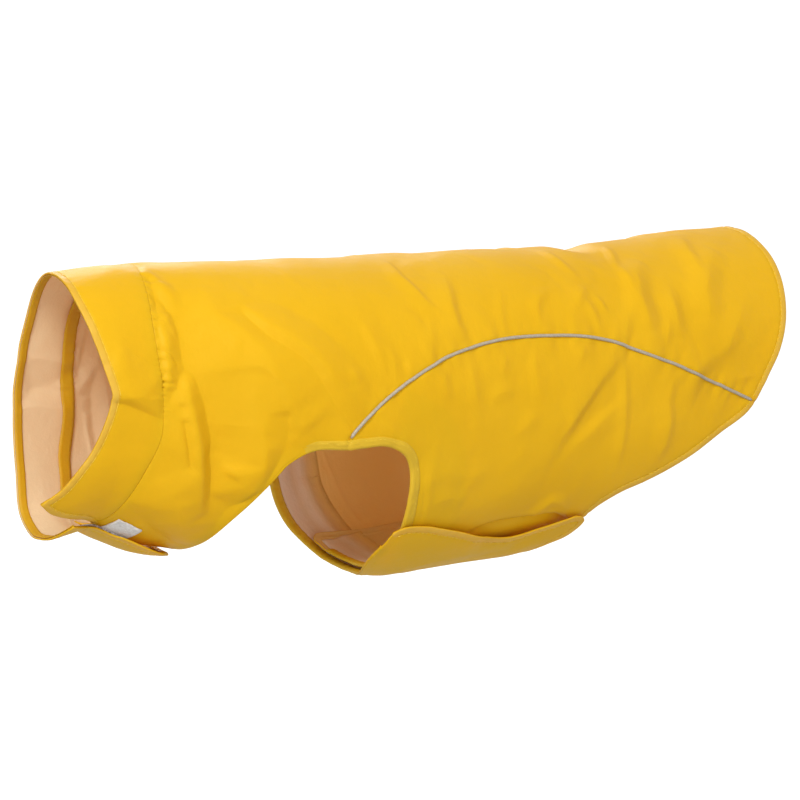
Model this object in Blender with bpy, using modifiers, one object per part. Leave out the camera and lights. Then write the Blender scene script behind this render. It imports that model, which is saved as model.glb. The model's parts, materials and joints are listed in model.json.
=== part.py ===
"""Dog raincoat in its worn form: back panel, side panels with belly flaps, stand-up collar, piping,
bindings and hook-and-loop patches.

+X runs to the tail, -Y is the dog's left side, +Z is up. The origin is on the inside of the
cloth at the withers, where the coat hangs on the dog's back.

Every piece is cut in one flat pattern plane, (station, girth) in millimetres. The station runs
along the back and the girth runs round the body from the spine, positive on the left side.
place() wraps a pattern point round the body. A girth past half way round passes under the belly.
"""

import math

import bpy
import numpy as np
from mathutils import Vector
from mathutils.geometry import delaunay_2d_cdt

MM = 0.001

# Driving dimensions, in millimetres and degrees.
BACK_LENGTH = 450.0         # collar seam to tail hem along the spine
CLOTH = 1.5                 # wall of coated cloth with its lining
SEAM_GAP = 0.5              # between two panels at a seam
TRIM_GAP = 0.35             # between a panel and what is sewn on it
LAP = 4.8                   # how far the right closures stand outside the left ones
PIPING_DIAMETER = 2.2
BINDING_WIDTH = 5.5
BINDING_GAP = 0.7           # between a bound edge and its binding
BINDING_WALL = 0.8
PATCH_WALL = 0.6
PATCH_CELL = 7.0
HOOK_GAP = 1.05             # between a panel's inner face and the hook patch inside it
TAPE_WIDTH = 6.0
TAPE_WALL = 0.6

# The tables below give the medium size, and SCALE resizes them.
SCALE = BACK_LENGTH / 450.0
GIRTH_PER_DEGREE = 1.5      # pattern girth for one degree round the body
EDGE_STEP = 6.0             # spacing of outline points
CELL = 13.0                 # spacing of points inside a panel, finer where it bends more
GATHER_CELL = 5.0
BELLY_CELL = 9.0

LEFT = 1
RIGHT = -1

# The body under the cloth: station, top height, bottom height, half width.
BODY = (
    (-135, -4, -147, 45),
    (-112, -3, -146.5, 47),
    (-90, -1.5, -143.3, 50),
    (-72, -0.5, -149.8, 51),
    (-50, 0, -158, 53),
    (-22, 0, -163, 59),
    (20, 0, -170, 67.5),
    (70, 0, -178.5, 73.5),
    (120, 1, -183, 75.5),
    (165, 1.5, -180.3, 75.5),
    (200, 2, -178.3, 75.5),
    (240, 2.5, -175.5, 74.3),
    (280, 3, -175, 72.5),
    (340, 8, -176, 68.5),
    (400, 12, -175, 64.5),
)
ROUNDNESS = 2.25            # 2 is an ellipse, more is squarer

# Edges of the pieces: station, angle from the spine. The same rows serve both sides.
COLLAR_SEAM = ((-52, 0), (-53.5, 7), (-58, 18), (-63, 41), (-63, 67), (-62, 90), (-63, 108))
LEFT_COLLAR_SEAM = COLLAR_SEAM + ((-72, 132), (-80, 153), (-85.5, 169))
RIGHT_COLLAR_SEAM = COLLAR_SEAM + ((-68, 128), (-71, 145), (-76, 160))
RIGHT_THROAT_SEAM = ((-76, 160), (-83, 175), (-92, 194.5))
CHEST_EDGE = (
    (-25, 176), (-24.5, 168), (-21, 158.5), (-14, 145), (-3, 130.5), (5, 121.5), (15, 111.5),
    (30, 104.5), (49, 103),
)
LEFT_LEG_REAR_EDGE = ((49, 103), (61, 101.5), (76, 100.5), (88, 104), (94, 111), (96, 126))
RIGHT_LEG_REAR_EDGE = ((49, 103), (60, 101.5), (73, 101), (82, 105), (87, 114), (87.5, 125))
PIPING_SEAM = (
    (49, 103), (52, 97), (67, 85), (84, 75.5), (103, 68), (122, 62.5), (159, 58), (196, 58),
    (238, 62), (262, 67.5), (294, 76), (327, 87), (357.5, 98),
)
TAIL_HEM = (
    (394, 0), (393.5, 6), (392, 15), (392.5, 30), (391, 42), (388, 54), (384, 63.5), (376.5, 75.5),
    (367.5, 86.5), (357.5, 98),
)
SIDE_HEM = (
    (357.5, 98), (350, 103), (342, 106.5), (329, 111), (306, 120), (277, 128.5), (256, 133), (244, 138),
    (237, 145),
)

# The left front ends under the right one, and the right one laps outside it.
LEFT_FRONT_END = ((-85.5, 169), (-85, 179), (-81, 190), (-62, 196), (-40, 194))
LEFT_CHEST_START = ((-40, 194), (-31, 187), (-25, 176))
RIGHT_FRONT_END = ((-92, 194.5), (-78, 194), (-66, 195), (-52, 194), (-39, 190.5))
RIGHT_CHEST_START = ((-39, 190.5), (-35, 186.5), (-29, 181.5), (-25, 176))

# Belly flaps, from the leg opening round to the side hem.
LEFT_FLAP_FRONT = ((96, 126), (97, 137), (99, 148), (103, 162), (106, 178), (104, 195), (101, 206))
LEFT_FLAP_END = ((101, 206), (106, 210), (160, 210), (208, 209), (215, 205))
LEFT_FLAP_REAR = ((215, 205), (218, 192), (220, 180), (224, 165), (230, 153), (237, 145))
RIGHT_FLAP_FRONT = (
    (87.5, 125), (88.5, 131), (90.5, 137), (93.5, 143), (97.5, 149), (102, 157), (106, 166),
    (106, 175), (101, 184), (93, 193), (87, 201), (85, 209), (89, 222.5),
)
RIGHT_FLAP_END = (
    (89, 222.5), (96, 225), (112, 225.2), (121, 224), (141, 220.5), (160, 216), (181, 212.5),
    (202, 215), (225, 219), (231, 218.5),
)
RIGHT_FLAP_REAR = (
    (231, 218.5), (235.5, 216), (234, 210.5), (229, 206.5), (222, 203), (217, 194), (217, 180),
    (222, 165), (230, 153), (237, 145),
)

# Front edge of the collar, from the left corner over the neck to the right corner.
COLLAR_EDGE = (
    (-131, 147), (-121, 140), (-111, 127.5), (-105, 119), (-99, 104.5), (-95, 87), (-97, 73),
    (-102, 48), (-106, 24), (-103, 2), (-98, -18), (-95.5, -40), (-97, -64), (-100, -94),
    (-102, -124), (-106, -150), (-109, -165), (-112, -176), (-112.5, -186), (-110, -195), (-106, -201),
)
COLLAR_LEFT_END = (
    (-85.5, 169), (-97, 160.8), (-108, 156.8), (-116, 154.6), (-123, 152.2), (-131, 147),
)
COLLAR_RIGHT_END = ((-106, -201), (-99, -197.5), (-92, -194.5))

# Soft creases: side, from station and angle, to station and angle, height, reach.
CREASES = (
    (LEFT, -46, 70, -31, 106, -3.0, 9),
    (LEFT, -31, 106, -26, 128, -2.5, 10),
    (LEFT, -30, 66, -12, 104, 2.0, 10),
    (LEFT, -58, 106, -53, 132, -2.0, 7),
    (LEFT, -3, 36, 48, 75, 2.0, 12),
    (LEFT, -9, 67, 14, 96, -2.0, 8),
    (LEFT, 122, 8, 134, 30, -1.5, 9),
    (LEFT, 232, 36, 232, 62, -1.5, 11),
    (LEFT, 297, 28, 284, 63, -2.0, 8),
    (LEFT, 348, 15, 336, 70, -2.5, 10),
    (LEFT, 252, 72, 200, 102, 2.0, 11),
    (LEFT, 302, 88, 292, 104, -1.5, 9),
    (LEFT, 262, 0, 258, 14, -3.0, 10),
    (RIGHT, -44, 64, -34, 98, -3.0, 9),
    (RIGHT, -34, 98, -20, 132, -2.0, 10),
    (RIGHT, -27, 60, -8, 100, 2.0, 11),
    (RIGHT, -56, 110, -54, 128, -1.5, 7),
    (RIGHT, 4, 40, 58, 70, 2.0, 12),
    (RIGHT, 2, 72, 20, 94, -1.5, 9),
    (RIGHT, 214, 30, 222, 58, -1.5, 12),
    (RIGHT, 312, 22, 294, 66, -2.0, 9),
    (RIGHT, 356, 20, 340, 62, -2.5, 11),
    (RIGHT, 240, 76, 188, 106, 2.0, 12),
    (RIGHT, 262, 0, 258, 12, -1.5, 12),
)

# Elastic gathers behind the collar seam.
GATHER_PITCH = 9.0          # girth from one pucker to the next
GATHER_HEIGHT = 0.9
GATHER_REACH = 12.0         # station over which a pucker fades out
GATHERED_ANGLE = 92.0       # how far down each side the elastic runs

# The left panel sinks in beside the end of the right flap: station, angle where it starts.
POCKET = (
    (140, 145), (154, 141), (169, 139), (188, 138.7), (202, 138.5), (211, 139), (220, 141.5),
    (229, 145.5), (236, 149),
)
POCKET_DEPTH = 4.0
CURL = 1.5                  # how far the rear corner of the right flap turns in


def between(rows, x):
    """Value at x of a curve through (x, value) rows that never swings past a row."""
    xs = np.array([row[0] for row in rows], float)
    ys = np.array([row[1] for row in rows], float)
    step = np.diff(xs)
    rise = np.diff(ys) / step
    slope = np.zeros(len(xs))
    slope[0] = rise[0]
    slope[-1] = rise[-1]
    same_way = rise[:-1] * rise[1:] > 0
    product = 2 * rise[:-1] * rise[1:]
    total = np.where(same_way, rise[:-1] + rise[1:], 1.0)
    slope[1:-1] = np.where(same_way, product / total, 0.0)
    x = np.clip(x, xs[0], xs[-1])
    i = np.clip(np.searchsorted(xs, x) - 1, 0, len(xs) - 2)
    t = (x - xs[i]) / step[i]
    start = (1 + 2 * t) * (1 - t) ** 2 * ys[i] + t * (1 - t) ** 2 * step[i] * slope[i]
    end = t * t * (3 - 2 * t) * ys[i + 1] - t * t * (1 - t) * step[i] * slope[i + 1]
    return start + end


def ease(x, start, end):
    """0 at start, 1 at end, and smooth between them."""
    t = np.clip((x - start) / (end - start), 0.0, 1.0)
    return t * t * (3 - 2 * t)


def body(station, girth):
    """Points on the body, and the directions straight out from it in each cross-section."""
    top = between([(at, high) for at, high, _, _ in BODY], station)
    bottom = between([(at, low) for at, _, low, _ in BODY], station)
    half_width = between([(at, half) for at, _, _, half in BODY], station)
    half_height = (top - bottom) / 2
    angle = np.radians(girth / GIRTH_PER_DEGREE)
    side, up = np.sin(angle), np.cos(angle)
    wide = np.abs(side) / half_width
    high = np.abs(up) / half_height
    radius = (wide ** ROUNDNESS + high ** ROUNDNESS) ** (-1 / ROUNDNESS)
    points = np.stack([station, -radius * side, (top + bottom) / 2 + radius * up], axis=-1)
    out_side = wide ** (ROUNDNESS - 1) / half_width * np.sign(side)
    out_up = high ** (ROUNDNESS - 1) / half_height * np.sign(up)
    out = np.stack([0 * station, -out_side, out_up], axis=-1)
    return points, out / np.linalg.norm(out, axis=-1, keepdims=True)


def creases(station, girth):
    """Height of the soft creases and gathers over the smooth form."""
    height = np.zeros_like(station)
    for side, station_a, angle_a, station_b, angle_b, tall, reach in CREASES:
        start = np.array([station_a, side * abs(angle_a) * GIRTH_PER_DEGREE])
        run = np.array([station_b, side * abs(angle_b) * GIRTH_PER_DEGREE]) - start
        offset = np.stack([station, girth], axis=-1) - start
        along = np.clip((offset @ run) / (run @ run), 0.0, 1.0)
        away = np.linalg.norm(offset - along[..., None] * run, axis=-1)
        height += tall * np.exp(-((away / reach) ** 2))
    angle = np.abs(girth) / GIRTH_PER_DEGREE
    behind = station - between(sorted_by_angle(COLLAR_SEAM), angle)
    rise = ease(behind, 2.0, 8.0) * np.exp(-np.clip(behind, 0, None) / GATHER_REACH)
    wave = np.cos(2 * math.pi * (girth + 0.06 * GATHER_PITCH * np.sin(girth / 17)) / GATHER_PITCH)
    gathered = 1 - ease(angle, GATHERED_ANGLE - 12, GATHERED_ANGLE)
    return height + GATHER_HEIGHT * rise * wave * gathered


def sorted_by_angle(rows):
    """(angle, station) rows of an edge that runs round the body."""
    return [(angle, station) for station, angle in rows]


def left_lift(station, girth):
    """How far the left side lies off the body: its panel sinks in beside the right flap."""
    angle = girth / GIRTH_PER_DEGREE
    depth = (angle - between(POCKET, station)) * GIRTH_PER_DEGREE
    inside = ease(station, 138, 160) * (1 - ease(station, 222, 238))
    return -POCKET_DEPTH * inside * ease(depth, -3, 6) * (1 - 0.5 * ease(depth, 18, 60))


def right_lift(station, girth):
    """How far the right side lies off the body: it laps outside the left one underneath."""
    angle = -girth / GIRTH_PER_DEGREE
    belly = ease(station, -10, 60)
    full = 160 - 14 * belly
    curled = CURL * ease(angle, 204, 212) * ease(station, 150, 180)
    return LAP * ease(angle, full - 24, full) - curled


def level(station, girth):
    """No lift: the back panel above the closures, the collar and their trims."""
    return 0 * station


def fronts_lift(station, girth):
    """The right front laps outside the left one under the throat."""
    return right_lift(station, girth) * (girth < 0)


def form(station, girth, lift):
    points, out = body(station, girth)
    return points + (lift(station, girth) + creases(station, girth))[..., None] * out


def place(pattern, lift, out=0.0):
    """World points, in metres, that lie `out` millimetres outside a piece's inner face."""
    pattern = np.asarray(pattern, float)
    station, girth = pattern[..., 0], pattern[..., 1]
    near = 0.5
    along = form(station + near, girth, lift) - form(station - near, girth, lift)
    around = form(station, girth + near, lift) - form(station, girth - near, lift)
    normal = np.cross(around, along)
    normal /= np.linalg.norm(normal, axis=-1, keepdims=True)
    return (SCALE * form(station, girth, lift) + np.asarray(out)[..., None] * normal) * MM


def curve_through(rows, side=LEFT, step=EDGE_STEP):
    """Evenly spaced pattern points on a smooth curve through (station, angle) rows."""
    knots = np.array([(station, side * angle * GIRTH_PER_DEGREE) for station, angle in rows])
    knots = knots.astype(float)
    gaps = np.sqrt(np.linalg.norm(np.diff(knots, axis=0), axis=1))
    rates = np.diff(knots, axis=0) / gaps[:, None]
    tangents = np.empty_like(knots)
    tangents[0], tangents[-1] = rates[0], rates[-1]
    before, after = gaps[:-1, None], gaps[1:, None]
    tangents[1:-1] = (rates[:-1] * after + rates[1:] * before) / (before + after)
    t = np.linspace(0, 1, 24, endpoint=False)[:, None]
    dense = [
        (1 + 2 * t) * (1 - t) ** 2 * knots[i] + t * (1 - t) ** 2 * gaps[i] * tangents[i]
        + t * t * (3 - 2 * t) * knots[i + 1] - t * t * (1 - t) * gaps[i] * tangents[i + 1]
        for i in range(len(gaps))
    ]
    dense = np.vstack(dense + [knots[-1:]])
    run = np.concatenate([[0], np.cumsum(np.linalg.norm(np.diff(dense, axis=0), axis=1))])
    places = np.linspace(0, run[-1], max(2, round(run[-1] / step) + 1))
    return np.stack([np.interp(places, run, dense[:, axis]) for axis in (0, 1)], axis=-1)


def joined(*edges):
    """One line from edges that meet end to end."""
    return np.vstack([edges[0]] + [edge[1:] for edge in edges[1:]])


def closed_outline(edges):
    """(corner points, set-back of the side that follows each) of edges given as (points, set-back).

    Neighbouring edges share their end points, and the outline runs with its inside on the left.
    """
    points = np.vstack([edge[:-1] for edge, _ in edges])
    set_back = np.concatenate([np.full(len(edge) - 1, back) for edge, back in edges])
    area = np.cross(points, np.roll(points, -1, axis=0)).sum()
    if area < 0:
        points = points[::-1]
        set_back = np.roll(set_back[::-1], -1)
    return points, set_back


def drawn_in(points, set_back):
    """The outline moved inwards by each side's own set-back."""
    sides = np.roll(points, -1, axis=0) - points
    inward = np.stack([-sides[:, 1], sides[:, 0]], axis=-1)
    inward /= np.linalg.norm(inward, axis=1, keepdims=True)
    moved = np.empty_like(points)
    for i, point in enumerate(points):
        normals = np.array([inward[i - 1], inward[i]])
        backs = np.array([set_back[i - 1], set_back[i]])
        if abs(np.linalg.det(normals)) > 0.25:
            moved[i] = point + np.linalg.solve(normals, backs)
        else:
            middle = normals.sum(axis=0)
            moved[i] = point + middle / np.linalg.norm(middle) * backs.mean()
    return moved


def inside_points(outline, spacing, wanted):
    """Staggered rows of points well inside the outline, where wanted(station, girth) holds."""
    low, high = outline.min(axis=0), outline.max(axis=0)
    ends = np.roll(outline, -1, axis=0)
    runs = ends - outline
    rows = []
    for row, station in enumerate(np.arange(low[0], high[0], spacing * 0.87)):
        girth = np.arange(low[1] + spacing * (row % 2) / 2, high[1], spacing)
        rows.append(np.stack([np.full_like(girth, station), girth], axis=-1))
    points = np.vstack(rows)
    points = points[wanted(points[:, 0], points[:, 1])]
    offset = points[:, None] - outline
    along = np.clip((offset * runs).sum(-1) / (runs * runs).sum(-1), 0, 1)
    away = np.linalg.norm(offset - along[..., None] * runs, axis=-1).min(axis=1)
    crosses = (outline[:, 1] > points[:, None, 1]) != (ends[:, 1] > points[:, None, 1])
    rise = np.where(runs[:, 1] == 0, 1, runs[:, 1])
    at = outline[:, 0] + (points[:, None, 1] - outline[:, 1]) / rise * runs[:, 0]
    inside = (crosses & (points[:, None, 0] < at)).sum(axis=1) % 2 == 1
    return points[inside & (away > 0.6 * spacing)]


def at_gathers(station, girth):
    """The strip of the back panel that the elastic gathers."""
    angle = np.abs(girth) / GIRTH_PER_DEGREE
    behind = station - between(sorted_by_angle(COLLAR_SEAM), angle)
    return (behind < 1.8 * GATHER_REACH) & (angle < GATHERED_ANGLE + 3)


def on_belly(station, girth):
    """The underside, where the body turns tightly and the flaps lie on each other."""
    return np.abs(girth) > 125 * GIRTH_PER_DEGREE


def material(name, color, roughness, metallic=0.0):
    made = bpy.data.materials.new(name)
    made.use_nodes = True
    shader = made.node_tree.nodes["Principled BSDF"]
    shader.inputs["Base Color"].default_value = (*color, 1.0)
    shader.inputs["Roughness"].default_value = roughness
    shader.inputs["Metallic"].default_value = metallic
    return made


def add_object(name, mesh, finish, wall=0.0):
    """An object in the coat's collection; an open surface gets its wall on the outer side."""
    piece = bpy.data.objects.new(name, mesh)
    coat.objects.link(piece)
    mesh.materials.append(finish)
    if wall:
        shell = piece.modifiers.new("Wall", "SOLIDIFY")
        shell.thickness = wall * MM
        shell.offset = 1.0
        shell.use_even_offset = True
    return piece


def surface_mesh(name, points, faces):
    mesh = bpy.data.meshes.new(name)
    mesh.from_pydata([tuple(point) for point in points], [], faces)
    mesh.validate()
    mesh.shade_smooth()
    return mesh


def add_panel(name, edges, lift, finish, is_fine, fine_cell, cell=CELL):
    """A panel cut to its outline and wrapped round the body, with finer cells where is_fine."""
    outline = drawn_in(*closed_outline(edges))
    fine = inside_points(outline, fine_cell, is_fine)
    coarse = inside_points(outline, cell, lambda *place_of: ~is_fine(*place_of))
    pattern = np.vstack([outline, fine, coarse])
    rim = [(i, (i + 1) % len(outline)) for i in range(len(outline))]
    cut = delaunay_2d_cdt([Vector(point) for point in pattern], rim, [], 1, 1e-6)
    pattern = np.array([tuple(point) for point in cut[0]])
    faces = [tuple(reversed(face)) for face in cut[2]]
    return add_object(name, surface_mesh(name, place(pattern, lift), faces), finish, CLOTH)


def add_strip(name, line, profile, lift, finish, wall):
    """A strip along a pattern line. The profile is (inward, out) points across the strip."""
    ahead = np.gradient(line, axis=0)
    inward = np.stack([-ahead[:, 1], ahead[:, 0]], axis=-1)
    inward /= np.linalg.norm(inward, axis=1, keepdims=True)
    rows = [place(line + across * inward, lift, np.full(len(line), out)) for across, out in profile]
    points = np.stack(rows, axis=1).reshape(-1, 3)
    wide = len(profile)
    faces = [
        (i * wide + j, i * wide + j + 1, (i + 1) * wide + j + 1, (i + 1) * wide + j)
        for i in range(len(line) - 1) for j in range(wide - 1)
    ]
    return add_object(name, surface_mesh(name, points, faces), finish, wall)


def add_back_panel(finish):
    """Back and both fronts, between the collar seam, the two piping seams and the tail hem."""
    half = SEAM_GAP / 2
    left = (
        (LEFT_COLLAR_SEAM, half), (LEFT_FRONT_END, 0.0), (LEFT_CHEST_START, 0.0), (CHEST_EDGE, 0.0),
        (PIPING_SEAM, half), (TAIL_HEM[::-1], 0.0),
    )
    right = (
        (TAIL_HEM, 0.0), (PIPING_SEAM[::-1], half), (CHEST_EDGE[::-1], 0.0),
        (RIGHT_CHEST_START[::-1], 0.0), (RIGHT_FRONT_END[::-1], 0.0),
        (RIGHT_THROAT_SEAM[::-1], SEAM_GAP), (RIGHT_COLLAR_SEAM[::-1], half),
    )
    edges = [(curve_through(rows, LEFT), back) for rows, back in left]
    edges += [(curve_through(rows, RIGHT), back) for rows, back in right]
    return add_panel("back_panel", edges, fronts_lift, finish, at_gathers, GATHER_CELL)


def add_side_panel(side, finish):
    """Side and belly flap in one piece, below the piping seam."""
    if side == LEFT:
        name, lift = "side_panel_left", left_lift
        flap = (LEFT_LEG_REAR_EDGE, LEFT_FLAP_FRONT, LEFT_FLAP_END, LEFT_FLAP_REAR)
    else:
        name, lift = "side_panel_right", right_lift
        flap = (RIGHT_LEG_REAR_EDGE, RIGHT_FLAP_FRONT, RIGHT_FLAP_END, RIGHT_FLAP_REAR)
    edges = [(curve_through(rows, side), 0.0) for rows in flap]
    edges.append((curve_through(SIDE_HEM, side)[::-1], 0.0))
    edges.append((curve_through(PIPING_SEAM, side)[::-1], SEAM_GAP / 2))
    return add_panel(name, edges, lift, finish, on_belly, BELLY_CELL)


def add_collar(finish):
    """Stand-up collar, seamed to the back panel and open under the throat."""
    half = SEAM_GAP / 2
    edges = [
        (curve_through(COLLAR_LEFT_END), 0.0),
        (curve_through(COLLAR_EDGE), 0.0),
        (curve_through(COLLAR_RIGHT_END), 0.0),
        (curve_through(RIGHT_THROAT_SEAM, RIGHT)[::-1], half),
        (curve_through(RIGHT_COLLAR_SEAM, RIGHT)[::-1], half),
        (curve_through(LEFT_COLLAR_SEAM, LEFT), half),
    ]
    return add_panel("collar", edges, fronts_lift, finish, on_belly, BELLY_CELL)


def add_seam_tape(finish):
    """Flat tape over the inside of the collar seam."""
    right, left = curve_through(RIGHT_COLLAR_SEAM, RIGHT), curve_through(LEFT_COLLAR_SEAM, LEFT)
    line = joined(right[::-1], left)[1:-1]
    under = -TRIM_GAP - TAPE_WALL
    half = TAPE_WIDTH / 2
    profile = ((half, under), (0.0, under), (-half, under))
    return add_strip("collar_seam_tape", line[::-1], profile, fronts_lift, finish, TAPE_WALL)


def add_piping(side, finish):
    """Round reflective cord that stands on the arc seam."""
    radius = PIPING_DIAMETER / 2
    line = curve_through(PIPING_SEAM, side)[2:-1]
    points = place(line, level, np.full(len(line), CLOTH + TRIM_GAP + radius))
    name = "piping_left" if side == LEFT else "piping_right"
    curve = bpy.data.curves.new(name, "CURVE")
    curve.dimensions = "3D"
    curve.bevel_depth = radius * MM
    curve.bevel_resolution = 2
    curve.use_fill_caps = True
    spline = curve.splines.new("POLY")
    spline.points.add(len(points) - 1)
    for spline_point, point in zip(spline.points, points):
        spline_point.co = (*point, 1.0)
    return add_object(name, curve, finish)


def add_binding(side, finish):
    """Bias tape folded round the leg opening, from the throat to the end of the belly flap."""
    if side == LEFT:
        name, lift = "leg_binding_left", left_lift
        rows = (LEFT_CHEST_START, CHEST_EDGE, LEFT_LEG_REAR_EDGE, LEFT_FLAP_FRONT)
    else:
        name, lift = "leg_binding_right", right_lift
        rows = (RIGHT_CHEST_START, CHEST_EDGE, RIGHT_LEG_REAR_EDGE, RIGHT_FLAP_FRONT)
    line = joined(*(curve_through(row, side) for row in rows))[2:-2]
    inside, outside = -BINDING_GAP, CLOTH + BINDING_GAP
    profile = (
        (BINDING_WIDTH, inside), (-BINDING_GAP, inside), (-BINDING_GAP, outside),
        (BINDING_WIDTH, outside),
    )
    if side == LEFT:
        line = line[::-1]
    return add_strip(name, line, profile, lift, finish, BINDING_WALL)


def add_patch(name, middle, size, turn, lift, out, finish):
    """Rectangular hook or loop patch; middle is (station, angle) and turn is in degrees."""
    columns, rows = (2 + round(length / PATCH_CELL) for length in size)
    across = np.linspace(-0.5, 0.5, columns) * size[0]
    down = np.linspace(-0.5, 0.5, rows) * size[1]
    turned = math.radians(turn)
    grid = [
        (
            middle[0] + a * math.cos(turned) - d * math.sin(turned),
            middle[1] * GIRTH_PER_DEGREE + a * math.sin(turned) + d * math.cos(turned),
        )
        for a in across for d in down
    ]
    faces = [
        (i * rows + j, i * rows + j + 1, (i + 1) * rows + j + 1, (i + 1) * rows + j)
        for i in range(columns - 1) for j in range(rows - 1)
    ]
    mesh = surface_mesh(name, place(grid, lift, np.full(len(grid), out)), faces)
    return add_object(name, mesh, finish, PATCH_WALL)


def add_patches(loop_cloth, hook_cloth):
    """Loop patches outside the left ends, and hook patches facing them inside the right ends."""
    outside = CLOTH + TRIM_GAP
    inside = -HOOK_GAP - PATCH_WALL
    add_patch("neck_loop_patch", (-70.5, 165), (17, 20), 15, left_lift, outside, loop_cloth)
    add_patch("neck_hook_patch", (-83, -190.3), (42, 8), 4, fronts_lift, inside, hook_cloth)
    add_patch("belly_loop_patch", (152, 167), (70, 26), 0, left_lift, outside, loop_cloth)
    add_patch("belly_hook_patch", (152, -207), (76, 14), 4, right_lift, inside, hook_cloth)


for old in list(bpy.data.objects):
    bpy.data.objects.remove(old, do_unlink=True)

coat = bpy.data.collections.new("dog_raincoat")
bpy.context.scene.collection.children.link(coat)

yellow = material("coated_cloth_yellow", (0.80, 0.48, 0.02), 0.45)
binding_yellow = material("binding_yellow", (0.72, 0.43, 0.03), 0.55)
tape_yellow = material("tape_yellow", (0.78, 0.50, 0.08), 0.6)
reflective = material("reflective_piping", (0.55, 0.55, 0.52), 0.35, 0.2)
loop_cloth = material("loop_fastener", (0.80, 0.76, 0.72), 0.9)
hook_cloth = material("hook_fastener", (0.62, 0.58, 0.60), 0.7)

add_back_panel(yellow)
add_collar(yellow)
add_seam_tape(tape_yellow)
add_patches(loop_cloth, hook_cloth)
for panel_side in (LEFT, RIGHT):
    add_side_panel(panel_side, yellow)
    add_piping(panel_side, reflective)
    add_binding(panel_side, binding_yellow)
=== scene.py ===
"""Dog raincoat, dressed: coated yellow cloth with a peach lining, puckered seams, stitched hems,
reflective piping, bias bindings, and hook-and-loop patches.

The sections follow the order of sewing. Lengths in the tables are millimetres and angles are
degrees round the body from the spine, as the cutter's pattern has them.
"""

import json
import math

import bpy
import numpy as np
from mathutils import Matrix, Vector
from mathutils.geometry import delaunay_2d_cdt

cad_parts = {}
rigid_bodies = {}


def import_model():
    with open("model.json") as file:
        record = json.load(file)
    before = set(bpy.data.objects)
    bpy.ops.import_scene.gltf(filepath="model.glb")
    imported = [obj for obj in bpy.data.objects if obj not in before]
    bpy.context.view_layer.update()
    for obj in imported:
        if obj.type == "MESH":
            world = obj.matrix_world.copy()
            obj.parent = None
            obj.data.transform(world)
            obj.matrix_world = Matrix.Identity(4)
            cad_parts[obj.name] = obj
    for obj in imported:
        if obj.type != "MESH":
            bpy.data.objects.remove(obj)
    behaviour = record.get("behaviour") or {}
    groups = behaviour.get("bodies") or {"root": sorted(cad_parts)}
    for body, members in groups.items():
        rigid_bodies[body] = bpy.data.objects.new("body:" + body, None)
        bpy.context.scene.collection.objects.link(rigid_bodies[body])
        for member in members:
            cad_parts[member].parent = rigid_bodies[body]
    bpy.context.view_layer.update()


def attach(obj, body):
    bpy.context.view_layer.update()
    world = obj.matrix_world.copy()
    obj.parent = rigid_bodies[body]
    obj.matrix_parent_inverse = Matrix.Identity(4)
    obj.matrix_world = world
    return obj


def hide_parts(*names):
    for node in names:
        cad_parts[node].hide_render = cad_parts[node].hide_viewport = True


for old in list(bpy.data.objects):
    bpy.data.objects.remove(old, do_unlink=True)

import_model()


# ---------------------------------------------------------------------------------------------
# Back panel: back, shoulders and both fronts in one cut of coated cloth with a thin lining. It is
# gathered on elastic behind the collar, hemmed at the tail, and creased where it was folded.

MM = 0.001
LEFT, RIGHT = 1, -1
GIRTH_PER_DEGREE = 1.5      # pattern girth for one degree round the body
WALL = 1.5                  # inner to outer face of the solid that the cloth follows
CLOTH = 0.9                 # coated cloth and lining
LAP = 4.8                   # how far the right closures stand outside the left ones

# The dog's body under the cloth: station, top height, bottom height, half width.
BODY = (
    (-135, -4, -147, 45),
    (-112, -3, -146.5, 47),
    (-90, -1.5, -143.3, 50),
    (-72, -0.5, -149.8, 51),
    (-50, 0, -158, 53),
    (-22, 0, -163, 59),
    (20, 0, -170, 67.5),
    (70, 0, -178.5, 73.5),
    (120, 1, -183, 75.5),
    (165, 1.5, -180.3, 75.5),
    (200, 2, -178.3, 75.5),
    (240, 2.5, -175.5, 74.3),
    (280, 3, -175, 72.5),
    (340, 8, -176, 68.5),
    (400, 12, -175, 64.5),
)
ROUNDNESS = 2.25            # 2 is an ellipse, more is squarer

# Edges of the back panel: station, angle. The same rows serve both sides.
COLLAR_SEAM = ((-52, 0), (-53.5, 7), (-58, 18), (-63, 41), (-63, 67), (-62, 90), (-63, 108))
LEFT_COLLAR_SEAM = COLLAR_SEAM + ((-72, 132), (-80, 153), (-85.5, 169))
RIGHT_COLLAR_SEAM = COLLAR_SEAM + ((-68, 128), (-71, 145), (-76, 160))
CHEST_EDGE = (
    (-25, 176), (-24.5, 168), (-21, 158.5), (-14, 145), (-3, 130.5), (5, 121.5), (15, 111.5),
    (30, 104.5), (49, 103),
)
PIPING_SEAM = (
    (49, 103), (52, 97), (67, 85), (84, 75.5), (103, 68), (122, 62.5), (159, 58), (196, 58),
    (238, 62), (262, 67.5), (294, 76), (327, 87), (357.5, 98),
)
TAIL_HEM = (
    (394, 0), (393.5, 6), (392, 15), (392.5, 30), (391, 42), (388, 54), (384, 63.5), (376.5, 75.5),
    (367.5, 86.5), (357.5, 98),
)
LEFT_FRONT_END = ((-85.5, 169), (-85, 179), (-81, 190), (-62, 196), (-40, 194))
LEFT_CHEST_START = ((-40, 194), (-31, 187), (-25, 176))
RIGHT_THROAT_SEAM = ((-76, 160), (-83, 175), (-92, 194.5))
RIGHT_FRONT_END = ((-92, 194.5), (-78, 194), (-66, 195), (-52, 194), (-39, 190.5))
RIGHT_CHEST_START = ((-39, 190.5), (-35, 186.5), (-29, 181.5), (-25, 176))

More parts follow.
